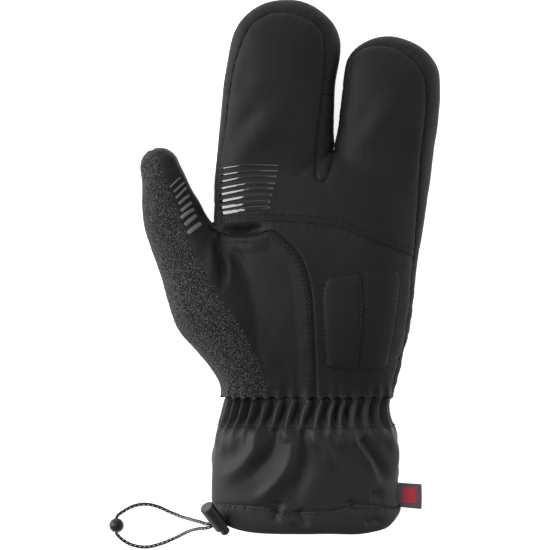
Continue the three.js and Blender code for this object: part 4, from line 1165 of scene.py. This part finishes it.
class MittColours(bpy.types.PropertyGroup):
    softshell: tint("Softshell", "Knit of the hand", "#121213")
    cuff: tint("Cuff", "Woven cloth of the wrist, cuff and hem", "#141415")
    terry: tint("Terry", "Thumb wipe, between its loops and their tops", "#363636")
    index_grip: tint("Index grips", "Glossy printed bars", "#0c0c0d")
    thumb_grip: tint("Thumb grips", "Matt printed bars", "#4b4d4f")
    thread: tint("Thread", "Topstitching", "#0a0a0b")
    plastic: tint("Plastic", "Cord lock and bead", "#0c0c0d")
    cord: tint("Cord", "Braid of the drawcord", "#0b0b0c")
    tracer: tint("Tracer", "Pale yarn in the drawcord", "#b4b4b8")
    label: tint("Label", "Side label", "#4d4650")
    label_block: tint("Label block", "Block woven into the side label", "#a32a34")
    floor: tint("Floor", "Studio floor", "#f4f4f4")


class MittStage(bpy.types.PropertyGroup):
    floor_glow: bpy.props.FloatProperty(
        name="Floor glow", description="Light that the floor sheet gives from beneath", default=0.85)
    floor_size: extent("Floor size", "Side of the pale floor", 2.4)
    key_power: bpy.props.FloatProperty(
        name="Key light", description="Strength of the large soft light at the left",
        default=20.0, unit="POWER")
    fill_power: bpy.props.FloatProperty(
        name="Fill light", description="Strength of the soft light overhead", default=4.0, unit="POWER")
    sky_strength: bpy.props.FloatProperty(
        name="Surround", description="Strength of the white studio surround", default=0.42)


# Operators


class MITT_OT_stage(bpy.types.Operator):
    """Sets the camera over the palm, the pale floor and the soft studio light"""

    bl_idname = "mitt.stage"
    bl_label = "Stage"

    def execute(self, context):
        stage = context.scene.mitt_stage
        camera = new_object("camera", bpy.data.cameras.new("camera"))
        camera.location = CAMERA_AT
        camera.data.sensor_width = 36
        camera.data.lens = CAMERA_LENS
        camera.data.clip_end = 20
        context.scene.camera = camera
        half = stage.floor_size / 2 / MM
        side = np.linspace(-half, half, 9)
        x, y = np.meshgrid(side, side)
        sheet = np.stack([x, y, x * 0 - FLOOR_DROP], 2).reshape(-1, 3)
        floor = new_object("floor", new_mesh("floor", sheet, grid_faces(*x.shape, False)))
        floor.data.materials.append(floor_paint())
        # name, place and size in metres, power
        lights = (
            ("key_light", (-1.0, 0.2, 0.42), (0.55, 1.2), stage.key_power),
            ("top_light", (0.1, 0.5, 1.4), (1.0, 1.0), stage.fill_power),
            ("side_light", (1.1, 0.1, 0.3), (0.7, 0.7), stage.fill_power * 1.2),
            ("rim_light", (-0.2, 1.2, 0.35), (0.9, 0.5), stage.fill_power),
        )
        for name, place, size, power in lights:
            light = new_object(name, bpy.data.lights.new(name, "AREA"))
            light.data.shape = "RECTANGLE"
            light.data.size, light.data.size_y = size
            light.data.energy = power
            light.location = place
            aim = Vector(LIGHTS_AIM) - Vector(place)
            light.rotation_euler = aim.to_track_quat("-Z", "Y").to_euler()
        # the plain tone curve, so that the white board stays white beside black cloth
        context.scene.view_settings.view_transform = "Standard"
        world = bpy.data.worlds.new("studio")
        context.scene.world = world
        world.use_nodes = True
        back = world.node_tree.nodes["Background"]
        back.inputs["Color"].default_value = colour("#ffffff")
        back.inputs["Strength"].default_value = stage.sky_strength
        return {"FINISHED"}


def frames_along(points):
    """Two sideways directions along a line of points, without twist."""
    ahead = unit(np.gradient(points, axis=0))
    side = np.zeros_like(points)
    lead = np.cross(ahead[0], (0, 0, 1.0))
    side[0] = lead / np.linalg.norm(lead)
    for i in range(1, len(points)):
        s = side[i - 1] - ahead[i] * np.dot(side[i - 1], ahead[i])
        side[i] = s / np.linalg.norm(s)
    return side, np.cross(ahead, side)


def tube(points, radius, sides):
    """A closed tube along points: its points, its quads and the faces of its two ends."""
    side, up = frames_along(points)
    angle = angles_round(sides)
    radius = np.broadcast_to(radius, (len(points), sides))[:, :, None]
    ring = side[:, None] * np.cos(angle)[None, :, None] + up[:, None] * np.sin(angle)[None, :, None]
    body = (points[:, None] + ring * radius).reshape(-1, 3)
    return body, grid_faces(len(points), sides)[:, ::-1], end_caps(len(points), sides)[:, ::-1]


def strand_point(which, out):
    return LOCK_AT + LOCK_AXIS * which * STRAND_PITCH / 2 + HOLE_AXIS * out


class MITT_OT_drawcord(bpy.types.Operator):
    """Braids the elastic drawcord, with the bead that gathers its loop"""

    bl_idname = "mitt.drawcord"
    bl_label = "Drawcord and bead"

    def execute(self, context):
        bead_run = [BEAD_AT + (0, t * BEAD_SIZE, 0) for t in (0.5, 0.25, 0, -0.25, -0.5)]
        offsets = (-3.2, 0, BARREL_RADIUS)
        knots = [strand_point(-1, o) for o in offsets] + [np.array(p) for p in CORD_OUT] + bead_run
        knots += [np.array(p) for p in CORD_BACK] + [strand_point(1, o) for o in offsets[::-1]]
        route = curve_through(knots, ROUTE_STEP)
        sides = 12
        run = np.arange(len(route)) * ROUTE_STEP
        angle = np.linspace(0, 1, sides, endpoint=False)
        # strands of the braid cross as low bumps, two ways round
        turns = run[:, None] / BRAID_CROSSING
        weave = np.cos(2 * np.pi * (3 * angle[None] + turns))
        weave = np.maximum(weave, np.cos(2 * np.pi * (3 * angle[None] - turns)))
        radius = CORD_THICK / 2 * (0.93 + 0.07 * weave)
        body, quads, ends = tube(route, radius, sides)
        cord = new_piece("drawcord_braid", body, quads, ends, material=braid(), slot="elastic_cord")
        self.lay_pattern(cord.data, run, sides, len(quads))
        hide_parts("drawcord")
        bead = self.bead()
        return {"FINISHED"}

    def lay_pattern(self, mesh, run, sides, quads):
        """Places on the cord for its tracer: turns of it along the cord, and once round it."""
        uv = mesh.uv_layers.new(name="braid")
        loops = np.empty(len(mesh.loops), np.int32)
        mesh.loops.foreach_get("vertex_index", loops)
        around = (loops % sides) / sides
        # the last strip round the cord ends at 1 and not at 0
        strips = around[: quads * 4].reshape(-1, 4)
        strips[(strips.max(axis=1) > 0.8)[:, None] & (strips == 0)] = 1
        places = np.column_stack([run[loops // sides] / TRACER_TURN, around])
        uv.data.foreach_set("uv", places.astype(np.float32).ravel())

    def bead(self):
        """A ball with a rounded-in hole, turned about the cord."""
        radius, hole, edge = BEAD_SIZE / 2, CORD_THICK / 2 + 0.45, 0.35
        start = math.asin((hole + edge) / radius)
        arc = np.linspace(start, math.pi - start, 26)
        profile = [(radius * math.sin(a), -radius * math.cos(a)) for a in arc]
        top = radius * math.cos(start)
        lip = [(hole + edge * (1 - math.sin(t)), top - edge * (1 - math.cos(t)))
               for t in np.linspace(0.2, math.pi / 2, 6)]
        inner = [(hole, y) for y in np.linspace(top - edge, -top + edge, 8)[1:-1]]
        profile = np.array(profile + lip + inner + [(r, -y) for r, y in lip[::-1]])
        sides = 40
        angle = angles_round(sides)
        r, y = profile.T
        along = np.broadcast_to(y[:, None], (len(r), sides))
        rings = np.stack([r[:, None] * np.cos(angle), along, r[:, None] * np.sin(angle)], 2) + BEAD_AT
        piece = new_piece(
            "cord_bead_ball", rings.reshape(-1, 3), ring_faces(len(rings), sides), material=moulded_plastic(),
            slot="lock_plastic", sharp=70)
        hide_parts("cord_bead")
        return piece


PANEL_FINISH = {"thumb_wipe": (terry, "terry")}


class MITT_OT_hand(bpy.types.Operator):
    """Sews the hand: back, gussets, palm panels, thumb and its terry wipe"""

    bl_idname = "mitt.hand"
    bl_label = "Hand panels"

    def execute(self, context):
        for name, (outer, inner, faces) in hand_panels().items():
            if not len(faces):
                raise RuntimeError(f"no cloth was cut for {name}")
            material, slot = PANEL_FINISH.get(name, (softshell, "softshell"))
            piece = new_piece(f"{name}_cloth", *shell(outer, inner, faces), material=material(), slot=slot)
            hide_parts(name)
        return {"FINISHED"}


class MITT_OT_pad(bpy.types.Operator):
    """Quilts the padded patch on the heel of the palm"""

    bl_idname = "mitt.pad"
    bl_label = "Palm pad"

    def execute(self, context):
        rise = context.scene.mitt_sizes.pad_rise / MM
        tree = cloth_tree()
        outline = curve_through(PAD_OUTLINE, 0.6)
        start, stop = outline.min(axis=0), outline.max(axis=0) + PAD_STEP
        x, y = np.meshgrid(np.arange(start[0], stop[0], PAD_STEP), np.arange(start[1], stop[1], PAD_STEP))
        plan = np.column_stack([x.ravel(), y.ravel()])
        faces = halves(grid_faces(*x.shape, False))
        edge = Line(PAD_OUTLINE)
        field = edge.away(plan)[1] * np.where(inside(plan, outline), 1, -1)
        flat = np.column_stack([plan, plan[:, 0] * 0])
        points, faces, _ = cut_along(flat, faces, field, 0, np.abs(field) < 9, np.zeros((len(plan), 2)))
        used, faces = in_use(faces[inside(points[faces].mean(axis=1), outline)])
        points = points[used]
        base = laid_on(tree, points[:, :2])[0]
        normal = normals_of(base, faces)
        normal *= np.sign(normal[:, 2:3])
        from_edge, from_groove = edge.away(points)[1], Line(PAD_GROOVE).away(points)[1]
        high = 0.06 + rise * (1 - np.exp(-from_edge / 3)) - rise * 0.35 * bell(from_edge - 0.9, 0.8)
        high -= rise * 0.7 * bell(from_groove, 1.7)
        high += 0.15 * ripple_of(base, 11, 4)
        outer = base + normal * high[:, None]
        inner = base - normal * 0.2
        if normals_of(outer, faces)[:, 2].mean() < 0:
            faces = faces[:, ::-1]
        pad = new_piece("palm_pad_quilt", *shell(outer, inner, faces), material=softshell(), slot="softshell")
        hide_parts("palm_pad")
        self.stitches(BVHTree.FromPolygons(outer.tolist(), faces.tolist()))
        return {"FINISHED"}

    def stitches(self, tree):
        """Rows of stitches inside the pad's edge and on both sides of its groove."""
        shapes = [stitch_shapes(*laid_on(tree, beside(Line(PAD_OUTLINE), -0.9)), PAD_PITCH)]
        groove = Line(PAD_GROOVE)
        for offset in (-1.3, 1.3):
            points = beside(groove, offset)
            points = points[inside(points, PAD_OUTLINE)]
            shapes.append(stitch_shapes(*laid_on(tree, points), PAD_PITCH))
        new_stitching("palm_pad_stitching", shapes)


def grip_strip(tree, ends, width, rise):
    """A domed bar printed along a line of surface points: points and quads."""
    points, normals = laid_on(tree, curve_through(ends, 0.5))
    points = np.column_stack([
        np.convolve(np.pad(points[:, k], 2, mode="edge"), np.ones(5) / 5, "valid") for k in range(3)])
    ahead = unit(np.gradient(points, axis=0))
    side = unit(np.cross(ahead, normals))
    run = np.linspace(0, 1, len(points))
    length = np.linalg.norm(np.diff(points, axis=0), axis=1).sum()
    end = np.clip(np.minimum(run, 1 - run) * length / (width / 2), 0, 1)
    full = np.sqrt(np.clip(1 - (1 - end) ** 2, 0.02, 1))
    lap = np.linspace(0, np.pi, 9)
    across = np.cos(lap)[None, :, None] * (width / 2 * full)[:, None, None]
    lift = ((1 - np.cos(lap) ** 6) ** 0.5)[None, :, None] * (rise * full)[:, None, None] - 0.04
    under = np.array([0.6, 0, -0.6])[None, ::-1, None] * (width / 2 * full)[:, None, None]
    top = points[:, None] + side[:, None] * across + normals[:, None] * lift
    below = points[:, None] + side[:, None] * under - normals[:, None] * 0.3
    rings = np.concatenate([top, below], axis=1)
    sides = rings.shape[1]
    return rings.reshape(-1, 3), grid_faces(len(points), sides), end_caps(len(points), sides)


class MITT_OT_grips(bpy.types.Operator):
    """Prints the silicone grip bars on the index side and on the thumb"""

    bl_idname = "mitt.grips"
    bl_label = "Grip bars"

    def execute(self, context):
        rise = context.scene.mitt_sizes.grip_rise / MM
        tree = cloth_tree()
        black = silicone("gloss_silicone", "index_grip", 0.11)
        grey = silicone("satin_silicone", "thumb_grip", 0.5)
        kinds = (
            ("index_grip", INDEX_BARS, (0.9, 2.8), black, "grip_black"),
            ("thumb_grip", THUMB_BARS, (0.9, 2.4), grey, "grip_grey"),
        )
        for name, bars, widths, material, slot in kinds:
            for i, ends in enumerate(bars):
                width = widths[0] + (widths[1] - widths[0]) * i / (len(bars) - 1)
                shape = grip_strip(tree, ends, width, rise)
                bar = new_piece(f"{name}_{i + 1}_print", *shape, material=material, slot=slot, sharp=80)
                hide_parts(f"{name}_{i + 1}")
        return {"FINISHED"}


class MITT_OT_stitching(bpy.types.Operator):
    """Runs the rows of topstitching beside the seams of the hand"""

    bl_idname = "mitt.stitching"
    bl_label = "Topstitching"

    def execute(self, context):
        hand = hand_skin()
        for seam, offsets, pitch, share, part in STITCH_ROWS:
            shapes = []
            for offset in offsets:
                points = beside(hand.lines[seam], offset)
                low, high = (round(len(points) * s) for s in part)
                shapes.append(stitch_shapes(*laid_on(cloth_tree(), points[low:high]), pitch, share))
            new_stitching(f"{seam}_stitching", shapes)
        return {"FINISHED"}


# The wrist and the cuff


@lru_cache(maxsize=None)
def gather_phase():
    """Angles round the wrist at which gathers stand, from the right over the palm side."""
    front = wrist_angle(np.array(GATHER_X[::-1]), True)
    behind = np.pi + (np.arange(GATHERS_BEHIND) + 0.5) / GATHERS_BEHIND * np.pi
    behind += 0.05 * np.sin(np.arange(GATHERS_BEHIND) * 2.3)
    angles = np.concatenate([[behind[-1] - 2 * np.pi], front, behind, [front[0] + 2 * np.pi]])
    return angles, np.arange(len(angles)) - 1.0


def wrist_angle(x, front):
    """Angle round the wrist at a place across it, on the palm side or behind."""
    left, right = CUFF_SIDES[0][1:]
    share = np.clip((x - (right + left) / 2) / ((right - left) / 2), -0.999, 0.999)
    angle = np.arccos(np.sign(share) * np.abs(share) ** (CUFF_POWER / 2))
    return np.where(front, angle, 2 * np.pi - angle)


def gathers(angle):
    """Height of the gathers at an angle round the wrist: narrow ridges with wider valleys."""
    return ((1 + np.cos(2 * np.pi * np.interp(angle, *gather_phase()))) / 2) ** 1.75


def gather_lean(angle):
    """How far the gathers lean aside from top to bottom, as an angle round the wrist."""
    return (0.07 + 0.04 * np.cos(angle)) * np.where(np.sin(angle) > 0, 1, -1)


def cuff_surface(angle, y, half_thick, ripple):
    """Points of the wrist and cuff for grids of angles and rows."""
    left, right = smooth_rows(CUFF_SIDES, y.ravel()).T
    half = ((right - left) / 2).reshape(y.shape)
    centre = ((right + left) / 2).reshape(y.shape)
    c, s = np.cos(angle), np.sin(angle)
    across = np.sign(c) * np.abs(c) ** (2 / CUFF_POWER)
    up = np.sign(s) * np.abs(s) ** (2 / CUFF_POWER)
    x = centre + across * (half + ripple)
    z = half_thick - UNDERSIDE + up * (half_thick + ripple)
    return np.stack([x, y, np.maximum(z, FLOOR_GAP)], axis=-1)


def side_dip(angle):
    return np.abs(np.cos(angle)) ** 4.5


def wrist_seam(angle):
    return angle * 0 + WRIST_Y


def waist_line(angle):
    """Where the cuff hangs from the gathers."""
    return WAIST_Y + 0.5 * gathers(angle)


def hem_line(angle):
    """Where the hem is stitched on: wavy on the palm side, even behind."""
    left, right = CUFF_SIDES[-2][1:]
    share = np.sign(np.cos(angle)) * np.abs(np.cos(angle)) ** (2 / CUFF_POWER)
    x = (left + right) / 2 + share * (right - left) / 2
    front = smooth_rows(HEM_SEAM, x.ravel())[:, 0].reshape(x.shape)
    even = side_dip(angle) * 2.3 + HEM_Y
    return even + (front - even) * np.clip(np.sin(angle) * 5, 0, 1)


def hem_end(angle):
    """The hem's open edge: a rounded corner at the right, a longer rise at the left."""
    side = np.cos(angle)
    lift = np.where(side > 0, 10.5 * np.abs(side) ** 8, 8 * np.abs(side) ** 4.5)
    wave = 0.7 * np.sin(angle * 9 + 1) * np.clip(np.sin(angle), 0, 1) * np.clip(side, 0, 1)
    return CUFF_END_Y + lift + wave


def fold_field(angle, bare):
    """Height of the cuff's listed folds, turned over for the back of the cuff."""
    x, y = bare[..., 0], bare[..., 1]
    front = np.sin(angle) > 0
    flat = np.column_stack([np.where(front, x, -x * 0.93 + 2).ravel(), y.ravel()])
    high = np.zeros(len(flat))
    for table, rise, width in CUFF_FOLDS:
        line = Line(table, 0.6)
        along, away = line.away(flat, width * 3)
        taper = np.clip(np.minimum(along / 0.15, (1 - along) / 0.35), 0, 1)
        high += rise * bell(away, width) * taper * taper * (3 - 2 * taper)
    # both sets run out where they meet at the sides
    return high.reshape(x.shape) * np.clip(np.abs(np.sin(angle)) * 7, 0, 1)


def cuff_part(rows, sides, start, end, ripple_at, wall, inner_rows):
    """A sleeve of cloth with its ripples: its outer rings, and its points and quads, closed at both ends."""
    angle = angles_round(sides)

    def skin(count, inset):
        down = np.linspace(0, 1, count)[:, None]
        grid = np.broadcast_to(angle, (count, sides))
        top = start(grid) - SLEEVE_LAP
        y = top + (end(grid) - top) * down
        down = np.broadcast_to(down, grid.shape)
        bare = cuff_surface(grid, y, cuff_thick(y), 0 * y)
        ripple = ripple_at(grid, down, bare)
        return cuff_surface(grid, y, cuff_thick(y), ripple - inset)

    outer, inner = skin(rows, 0), skin(inner_rows, wall)
    rings = np.concatenate([outer, inner[::-1]])
    return outer, rings.reshape(-1, 3), ring_faces(len(rings), sides)[:, ::-1]


def cuff_thick(y):
    """Half the thickness of the wrist and cuff at each row."""
    return smooth_rows(CUFF_THICK, y.ravel()).reshape(y.shape)


class MITT_OT_cuff(bpy.types.Operator):
    """Gathers the wrist and hangs the wide cuff with its drawcord hem"""

    bl_idname = "mitt.cuff"
    bl_label = "Wrist and cuff"

    def execute(self, context):
        depth = context.scene.mitt_sizes.gather_depth / MM

        def wrist(angle, down, bare):
            lean = gather_lean(angle) * (0.55 - down) * np.clip(down * 6, 0, 1)
            ridge = 0.4 + 0.6 * np.sin(np.pi * np.clip(down, 0.02, 0.98)) ** 0.8 + 0.2 * down
            leaf = gathers(angle + lean) ** (0.5 + 0.9 * (2 * down - 1) ** 2)
            return (leaf - 0.45) * depth * ridge + 0.7 * down ** 2 - 1.1 * np.exp(-down * 9)

        def cuff(angle, down, bare):
            lean = gather_lean(angle) * (-0.45 - down)
            fine = (gathers(angle + lean) - 0.4) * depth * 0.6 * np.exp(-down * 10) + 0.7
            folds = fold_field(angle, bare)
            soft = ripple_of(bare, 16, 5) * 0.5
            seam = 0.4 * np.exp(-(1 - down) * 34)
            return fine + folds * np.clip(down * 16, 0.3, 1) + soft - seam - 0.5 * down

        def hem(angle, down, bare):
            folds = fold_field(angle, bare)
            swell = 0.6 * np.sin(np.pi * np.clip(down, 0, 1)) ** 0.7 - 0.9 * down ** 6 + 0.4
            pucker = 0.22 * np.sin(angle * 46 + 2 * np.sin(angle * 5)) * np.exp(-down * 5)
            soft = ripple_of(bare, 12, 6) * 0.4
            return folds * (1 - 0.35 * down) + swell + pucker + soft - 0.45 * np.exp(-down * 16)

        # node, rows and sides of its mesh, where it starts and ends, ripple, wall, rows of its inner skin
        parts = (
            ("wrist_gather", 50, 760, wrist_seam, waist_line, wrist, 1.6, 8),
            ("gauntlet_cuff", 84, 480, waist_line, hem_line, cuff, 1.6, 20),
            ("hem_channel", 26, 480, hem_line, hem_end, hem, 2.4, 8),
        )
        rings = {}
        for name, rows, sides, start, end, ripple, wall, inner_rows in parts:
            rings[name], points, quads = cuff_part(rows, sides, start, end, ripple, wall, inner_rows)
            piece = new_piece(f"{name}_cloth", points, quads, material=cuff_cloth(), slot="softshell")
            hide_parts(name)
            self.declare(piece, rings[name])
        self.stitches(rings)
        return {"FINISHED"}

    def declare(self, piece, rings):
        """Does nothing with the piece or its rings."""

    def stitches(self, rings):
        """Rows of stitches round the cuff: at the gathers and along the hem."""
        # sleeve, row of its rings, pitch, how deep the thread sinks in, share of the pitch
        runs = (
            ("wrist_gather", 2, 2.2, 0.3, 0.55),
            ("gauntlet_cuff", 2, 2.2, 0.3, 0.5),
            ("hem_channel", 2, 2.9, 0.25, 0.6),
        )
        shapes = []
        for name, row, pitch, sink, share in runs:
            ring = rings[name]
            line = np.concatenate([ring[row], ring[row][:1]])
            out = unit(np.cross(np.gradient(line, axis=0), ring[row + 1][[*range(len(line) - 1), 0]] - line))
            middle = line.mean(axis=0)
            out *= np.sign(((line - middle) * out).sum(axis=1, keepdims=True))
            shapes.append(stitch_shapes(line, out, pitch, share, sink))
        new_stitching("cuff_stitching", shapes)


class MITT_OT_label(bpy.types.Operator):
    """Folds the woven side label over and sews it into the cuff's seam"""

    bl_idname = "mitt.label"
    bl_label = "Side label"

    def execute(self, context):
        low, high = (np.array(v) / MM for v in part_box("side_label"))
        length, width = high[1] - low[1], high[0] - low[0]
        rows, steps, thick = 30, 22, 0.55
        v = np.linspace(0, 1, rows)
        u = np.concatenate([np.linspace(0, 1, steps), np.linspace(1, 0, steps)])
        face = np.concatenate([np.ones(steps), -np.ones(steps)])
        x = low[0] - LABEL_TAIL + (width + LABEL_PLY) * u[None] + 0.2 * np.sin(v[:, None] * 3)
        y = high[1] - length * v[:, None] + (0.5 - v[:, None]) * 0.6 * u[None] - 1.1 * u[None]
        curl = 0.9 * np.sin(u[None] * 2.1 + v[:, None] * 1.2) * u[None]
        z = (low[2] + high[2]) / 2 + curl + face[None] * thick * np.sqrt(np.clip(1 - u[None] ** 8, 0.02, 1))
        points = np.stack(np.broadcast_arrays(x, y, z), 2).reshape(-1, 3)
        sides = 2 * steps
        label = new_piece(
            "side_label_weave", points, grid_faces(rows, sides), end_caps(rows, sides),
            material=damask("damask_label", "label"), slot="label_weave")
        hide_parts("side_label")
        tree = BVHTree.FromPolygons(points.tolist(), grid_faces(rows, sides).tolist())
        block = self.block(tree, low[0], high[1], width, length)
        # both plies of the folded strip are one body
        return {"FINISHED"}

    def block(self, tree, left, top, width, length):
        """The plain red block woven into the upper ply."""
        across, down = np.meshgrid(
            np.linspace(0.06, 0.86, BLOCK_COLUMNS), np.linspace(0.17, 0.8, BLOCK_ROWS))
        plan = np.column_stack([left + width * across.ravel(), top - length * down.ravel() - 0.5])
        points, normals = laid_on(tree, plan)
        if len(points) != len(plan):
            raise RuntimeError("the woven block does not lie on the label")
        faces = halves(grid_faces(BLOCK_ROWS, BLOCK_COLUMNS, False)[:, ::-1])
        skins = (points + normals * 0.08, points - normals * 0.05)
        return new_piece(
            "side_label_block", *shell(*skins, faces), material=damask("red_damask", "label_block"),
            slot="label_weave")


class MITT_OT_lock(bpy.types.Operator):
    """Moulds the cord lock: its barrel and the plunger that slides in it"""

    bl_idname = "mitt.lock"
    bl_label = "Cord lock"

    def execute(self, context):
        for name in ("cord_lock_barrel", "cord_lock_plunger"):
            mesh = bpy.data.objects[name].data
            mesh.materials.clear()
            mesh.materials.append(moulded_plastic())
            # the flat ends, turned toward the lights, are left matt and painted 13 times paler as painted
            # light, so they read as paler discs
            mesh.materials.append(moulded_plastic("matt_acetal", 13.0, 0.6))
            for face in mesh.polygons:
                face.material_index = int(face.normal.dot(Vector(-LOCK_AXIS)) > FLAT_END)
        return {"FINISHED"}


class MITT_PT_panel(bpy.types.Panel):
    """Lists the steps that make the mitt"""

    bl_idname = "MITT_PT_panel"
    bl_label = "Lobster Claw Mitt"
    bl_space_type = "VIEW_3D"
    bl_region_type = "UI"
    bl_category = "Mitt"

    def draw(self, context):
        for group in (context.scene.mitt_sizes, context.scene.mitt_colours, context.scene.mitt_stage):
            for name in group.__annotations__:
                self.layout.prop(group, name)
        for operator in OPERATORS:
            self.layout.operator(operator.bl_idname)


OPERATORS = (
    MITT_OT_stage,
    MITT_OT_drawcord,
    MITT_OT_hand,
    MITT_OT_pad,
    MITT_OT_grips,
    MITT_OT_stitching,
    MITT_OT_cuff,
    MITT_OT_label,
    MITT_OT_lock,
)
GROUPS = {"mitt_sizes": MittSizes, "mitt_colours": MittColours, "mitt_stage": MittStage}


def register():
    for made in (*GROUPS.values(), *OPERATORS, MITT_PT_panel):
        bpy.utils.register_class(made)
    for name, group in GROUPS.items():
        setattr(bpy.types.Scene, name, bpy.props.PointerProperty(type=group))


def unregister():
    for name in GROUPS:
        delattr(bpy.types.Scene, name)
    for made in reversed((*GROUPS.values(), *OPERATORS, MITT_PT_panel)):
        bpy.utils.unregister_class(made)


def main():
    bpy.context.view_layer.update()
    register()
    for operator in OPERATORS:
        family, step = operator.bl_idname.split(".")
        getattr(getattr(bpy.ops, family), step)()


if __name__ == "__main__":
    main()
